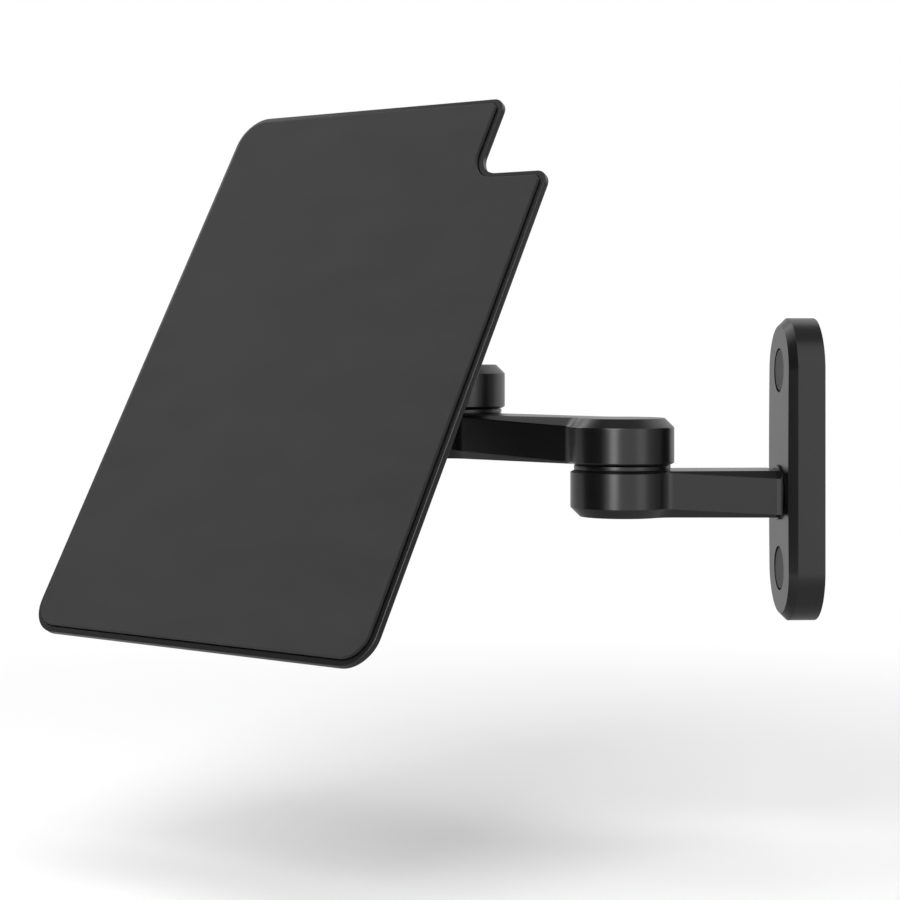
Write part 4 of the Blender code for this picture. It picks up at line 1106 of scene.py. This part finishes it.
def holder_plan(holder, shrink):
    """Plan of the holder with its relief, made smaller all round, as one flat face."""
    half_width = holder.width / 2 - shrink
    half_height = holder.height / 2 - shrink
    relief_x = holder.width / 2 - holder.relief - shrink
    relief_y = holder.height / 2 - holder.relief - shrink
    corner = holder.corner - shrink
    outer = holder.relief_outer - shrink
    inner = holder.relief_inner + shrink
    bm = bmesh.new()
    corners = [
        (-half_width, -half_height, corner), (half_width, -half_height, corner),
        (half_width, relief_y, outer), (relief_x, relief_y, inner),
        (relief_x, half_height, outer), (-half_width, half_height, corner),
    ]
    verts = [bm.verts.new((x, y, 0)) for x, y, radius in corners]
    bm.faces.new(verts)
    for vert, (x, y, radius) in zip(verts, corners):
        bevel(bm, [vert], radius, CORNER_STEPS, "VERTICES")
    return bm, bm.faces[:][0]


class SWINGARM_OT_holder(bpy.types.Operator):
    """Make the holder and the soft pad on its face"""
    bl_idname = "swing_arm.holder"
    bl_label = "Holder"

    def execute(self, context):
        holder = context.scene.swing_arm.holder
        front = holder.back + holder.thickness
        bm, plan = holder_plan(holder, 0)
        bottom, top = raised(bm, plan, holder.back, front)
        bevel(bm, list(bottom.edges), holder.back_chamfer)
        seat = max(bm.faces, key=lambda face: face.calc_center_median().z)
        bmesh.ops.inset_region(bm, faces=[seat], thickness=holder.lip, use_even_offset=True)
        bmesh.ops.inset_region(bm, faces=[seat], thickness=0.0, depth=-holder.recess)
        soften(bm, HOLDER_ROUND)
        boss_back = holder.back - BOSS_THICKNESS
        boss = rod(BOSS_RADIUS, boss_back, holder.back + holder.thickness / 2)
        soften(boss, BOSS_ROUND, 4, lambda edge: edge.verts[0].co.z < holder.back)
        bm = combined(bm, "UNION", boss)
        tools = [stepped(front + CUT_EXTRA, TURN_HEAD, (TURN_BUSH_BORE, boss_back - CUT_EXTRA))]
        for node in sorted(frame["nodes"]):
            if node.startswith("magnet_"):
                low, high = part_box(node)
                centre = face_frame().inverted() @ ((low + high) / 2)
                floor = front - holder.recess - MAGNET_DEPTH
                pocket = rod(MAGNET_ROOM, floor, front + CUT_EXTRA, POCKET_STEPS)
                tools.append(moved(pocket, Matrix.Translation((centre.x, centre.y, 0))))
        bm = combined(bm, "DIFFERENCE", *tools)
        add_piece("holder_body", bm, face_frame(), "holder", "black_metal", "holder_plate")

        bm, plan = holder_plan(holder, holder.lip + SEAT_GAP)
        pad_back = front - holder.recess + SEAT_GAP
        raised(bm, plan, pad_back, pad_back + holder.pad)
        soften(bm, PAD_ROUND)
        add_piece("holder_soft_pad", bm, face_frame(), "holder", "soft_pad", "holder_pad")
        return {"FINISHED"}


class SWINGARM_OT_inner_pieces(bpy.types.Operator):
    """Give every CAD piece that stays its finish"""
    bl_idname = "swing_arm.inner_pieces"
    bl_label = "Inner pieces"

    def execute(self, context):
        slots = {part["node"]: part["material_slot"] for part in frame["record"]["subparts"]}
        for name, node in frame["nodes"].items():
            node.data.materials.clear()
            node.data.materials.append(material_for(slots[name]))
        return {"FINISHED"}


class SWINGARM_OT_stage(bpy.types.Operator):
    """Set up the floor, the lamps, the world and the camera"""
    bl_idname = "swing_arm.stage"
    bl_label = "Stage"

    def execute(self, context):
        self.floor(context.scene.swing_arm.finishes.floor)
        self.world(context.scene)
        self.lamps()
        self.camera(context.scene)
        context.scene.view_settings.view_transform = "Standard"
        return {"FINISHED"}

    def floor(self, pale):
        """A pale floor that glows white towards its edge; in reflections it has painted shade: its colour is
        darker near the object, and its glow is darker behind and beside it.
        """
        bm = bmesh.new()
        bmesh.ops.create_circle(bm, cap_ends=True, radius=FLOOR_RADIUS, segments=FLOOR_STEPS)
        bmesh.ops.translate(bm, verts=bm.verts, vec=(0, 0, FLOOR_MIDDLE.z))
        item = holding(bm, "floor")
        finish = Finish("pale_floor")
        mirrored = finish.rays("Is Glossy Ray")
        # Painted shade: to glossy rays the floor's colour is darker than to the camera
        finish.surface(
            base_color=finish.tint(mirrored, pale, lighter(pale, FLOOR_SHADE_IN_REFLECTIONS)),
            roughness=0.9,
            specular_ior_level=0.1,
        )
        reach = finish.add("ShaderNodeVectorMath", {"operation": "DISTANCE"},
                           {0: finish.place, 1: FLOOR_MIDDLE}, "Value")
        white_out = finish.fade(reach, *FLOOR_FADE) * (finish.rays("Is Camera Ray") | mirrored)
        behind = finish.parts(finish.place, "X")[0] * -1.0
        toward = finish.add("ShaderNodeVectorMath", {"operation": "NORMALIZE"},
                            {0: finish.place}, "Vector")
        across, outward = finish.parts(toward, "XY")
        # Painted shade in reflections: the floor's white glow is darker behind and beside the object
        far = finish.fade(behind, *FLOOR_FADE) * FAR_DEPTH
        dimmed = mirrored * (far | finish.beside(across, outward))
        white = finish.add("ShaderNodeEmission", {}, {"Color": finish.tint(dimmed, WHITE, BLACK)})
        lit = Signal(finish, finish.shader.outputs["BSDF"])
        mix = finish.add("ShaderNodeMixShader", {}, {0: white_out, 1: lit, 2: white})
        finish.feed(finish.tree.nodes["Material Output"].inputs["Surface"], mix)
        item.data.materials.append(finish.material)

    def world(self, scene):
        """White to the camera; in reflections white too, but darker out in the room."""
        world = bpy.data.worlds.new("studio")
        world.use_nodes = True
        scene.world = world
        graph = Graph(world.node_tree)
        graph.tree.nodes.clear()
        direction = graph.add("ShaderNodeTexCoord", {}, {}, "Generated")
        across, outward, upward = graph.parts(direction, "XYZ")
        room = graph.fade(outward * -1.0, *ROOM_FADE) * ROOM_DEPTH
        far = graph.fade(across * -1.0, *FAR_FADE) * FAR_DEPTH
        side = graph.beside(across, outward)
        ceiling = graph.fade(upward, *CEILING_FADE) * CEILING_DEPTH
        dimmed = graph.rays("Is Glossy Ray") * (room | far | side | ceiling)
        white = graph.add("ShaderNodeBackground", {}, {"Color": graph.tint(dimmed, WHITE, BLACK)})
        soft = graph.add("ShaderNodeBackground", {}, {
            "Color": (*WHITE, 1), "Strength": WORLD_LEVEL,
        })
        seen = (graph.rays("Is Camera Ray") | graph.rays("Is Glossy Ray")
                | graph.rays("Is Transmission Ray"))
        mix = graph.add("ShaderNodeMixShader", {}, {0: seen, 1: soft, 2: white})
        graph.add("ShaderNodeOutputWorld", {}, {"Surface": mix}, None)

    def lamps(self):
        """Soft lamps that look at the elbow; none shows itself to the camera."""
        for name, place, width, height, power in LAMPS:
            lamp = bpy.data.lights.new(name, "AREA")
            lamp.shape = "RECTANGLE"
            lamp.size = width
            lamp.size_y = height
            lamp.energy = power
            item = linked(name, lamp)
            item.location = place
            item.rotation_euler = (ELBOW - Vector(place)).to_track_quat("-Z", "Y").to_euler()
            item.visible_camera = False
            item.visible_glossy = name != "top_lamp"

    def camera(self, scene):
        """Look level from the side, at the distance that fits the photograph."""
        lens = bpy.data.cameras.new("camera")
        lens.lens = LENS
        lens.shift_y = CAMERA_SHIFT
        lens.clip_start = 0.05
        lens.clip_end = 50
        item = linked("camera", lens)
        ahead = Vector((-math.cos(CAMERA_TURN), math.sin(CAMERA_TURN), 0))
        item.location = CAMERA_PLACE
        item.rotation_euler = ahead.to_track_quat("-Z", "Y").to_euler()
        scene.camera = item


class SWINGARM_PT_panel(bpy.types.Panel):
    """Buttons that make the pieces, in order"""
    bl_idname = "SWINGARM_PT_panel"
    bl_label = "Swing arm"
    bl_space_type = "VIEW_3D"
    bl_region_type = "UI"
    bl_category = "Swing arm"

    def draw(self, context):
        for step in STEPS:
            self.layout.operator(step.bl_idname)
        settings = context.scene.swing_arm
        for group in (settings.plate, settings.arms, settings.tilt, settings.holder,
                      settings.finishes):
            part = self.layout.box()
            for name in group.bl_rna.properties.keys():
                if name not in ("rna_type", "name"):
                    part.prop(group, name)


GROUPS = (PlateSizes, ArmSizes, TiltSizes, HolderSizes, Finishes, SwingArm)
STEPS = (
    SWINGARM_OT_inner_pieces,
    SWINGARM_OT_wall_plate,
    SWINGARM_OT_caps,
    SWINGARM_OT_rings,
    SWINGARM_OT_rear_arm,
    SWINGARM_OT_front_arm,
    SWINGARM_OT_head_link,
    SWINGARM_OT_hub_feet,
    SWINGARM_OT_tilt_joint,
    SWINGARM_OT_holder,
    SWINGARM_OT_stage,
)
CLASSES = (*GROUPS, *STEPS, SWINGARM_PT_panel)


def register():
    """Register the settings, the operators and the panel."""
    for item in CLASSES:
        bpy.utils.register_class(item)
    bpy.types.Scene.swing_arm = PointerProperty(type=SwingArm)


def unregister():
    """Take away what register added."""
    del bpy.types.Scene.swing_arm
    for item in reversed(CLASSES):
        bpy.utils.unregister_class(item)


def main():
    """Make every piece in order."""
    register()
    for step in STEPS:
        family, name = step.bl_idname.split(".")
        getattr(getattr(bpy.ops, family), name)()


if __name__ == "__main__":
    main()
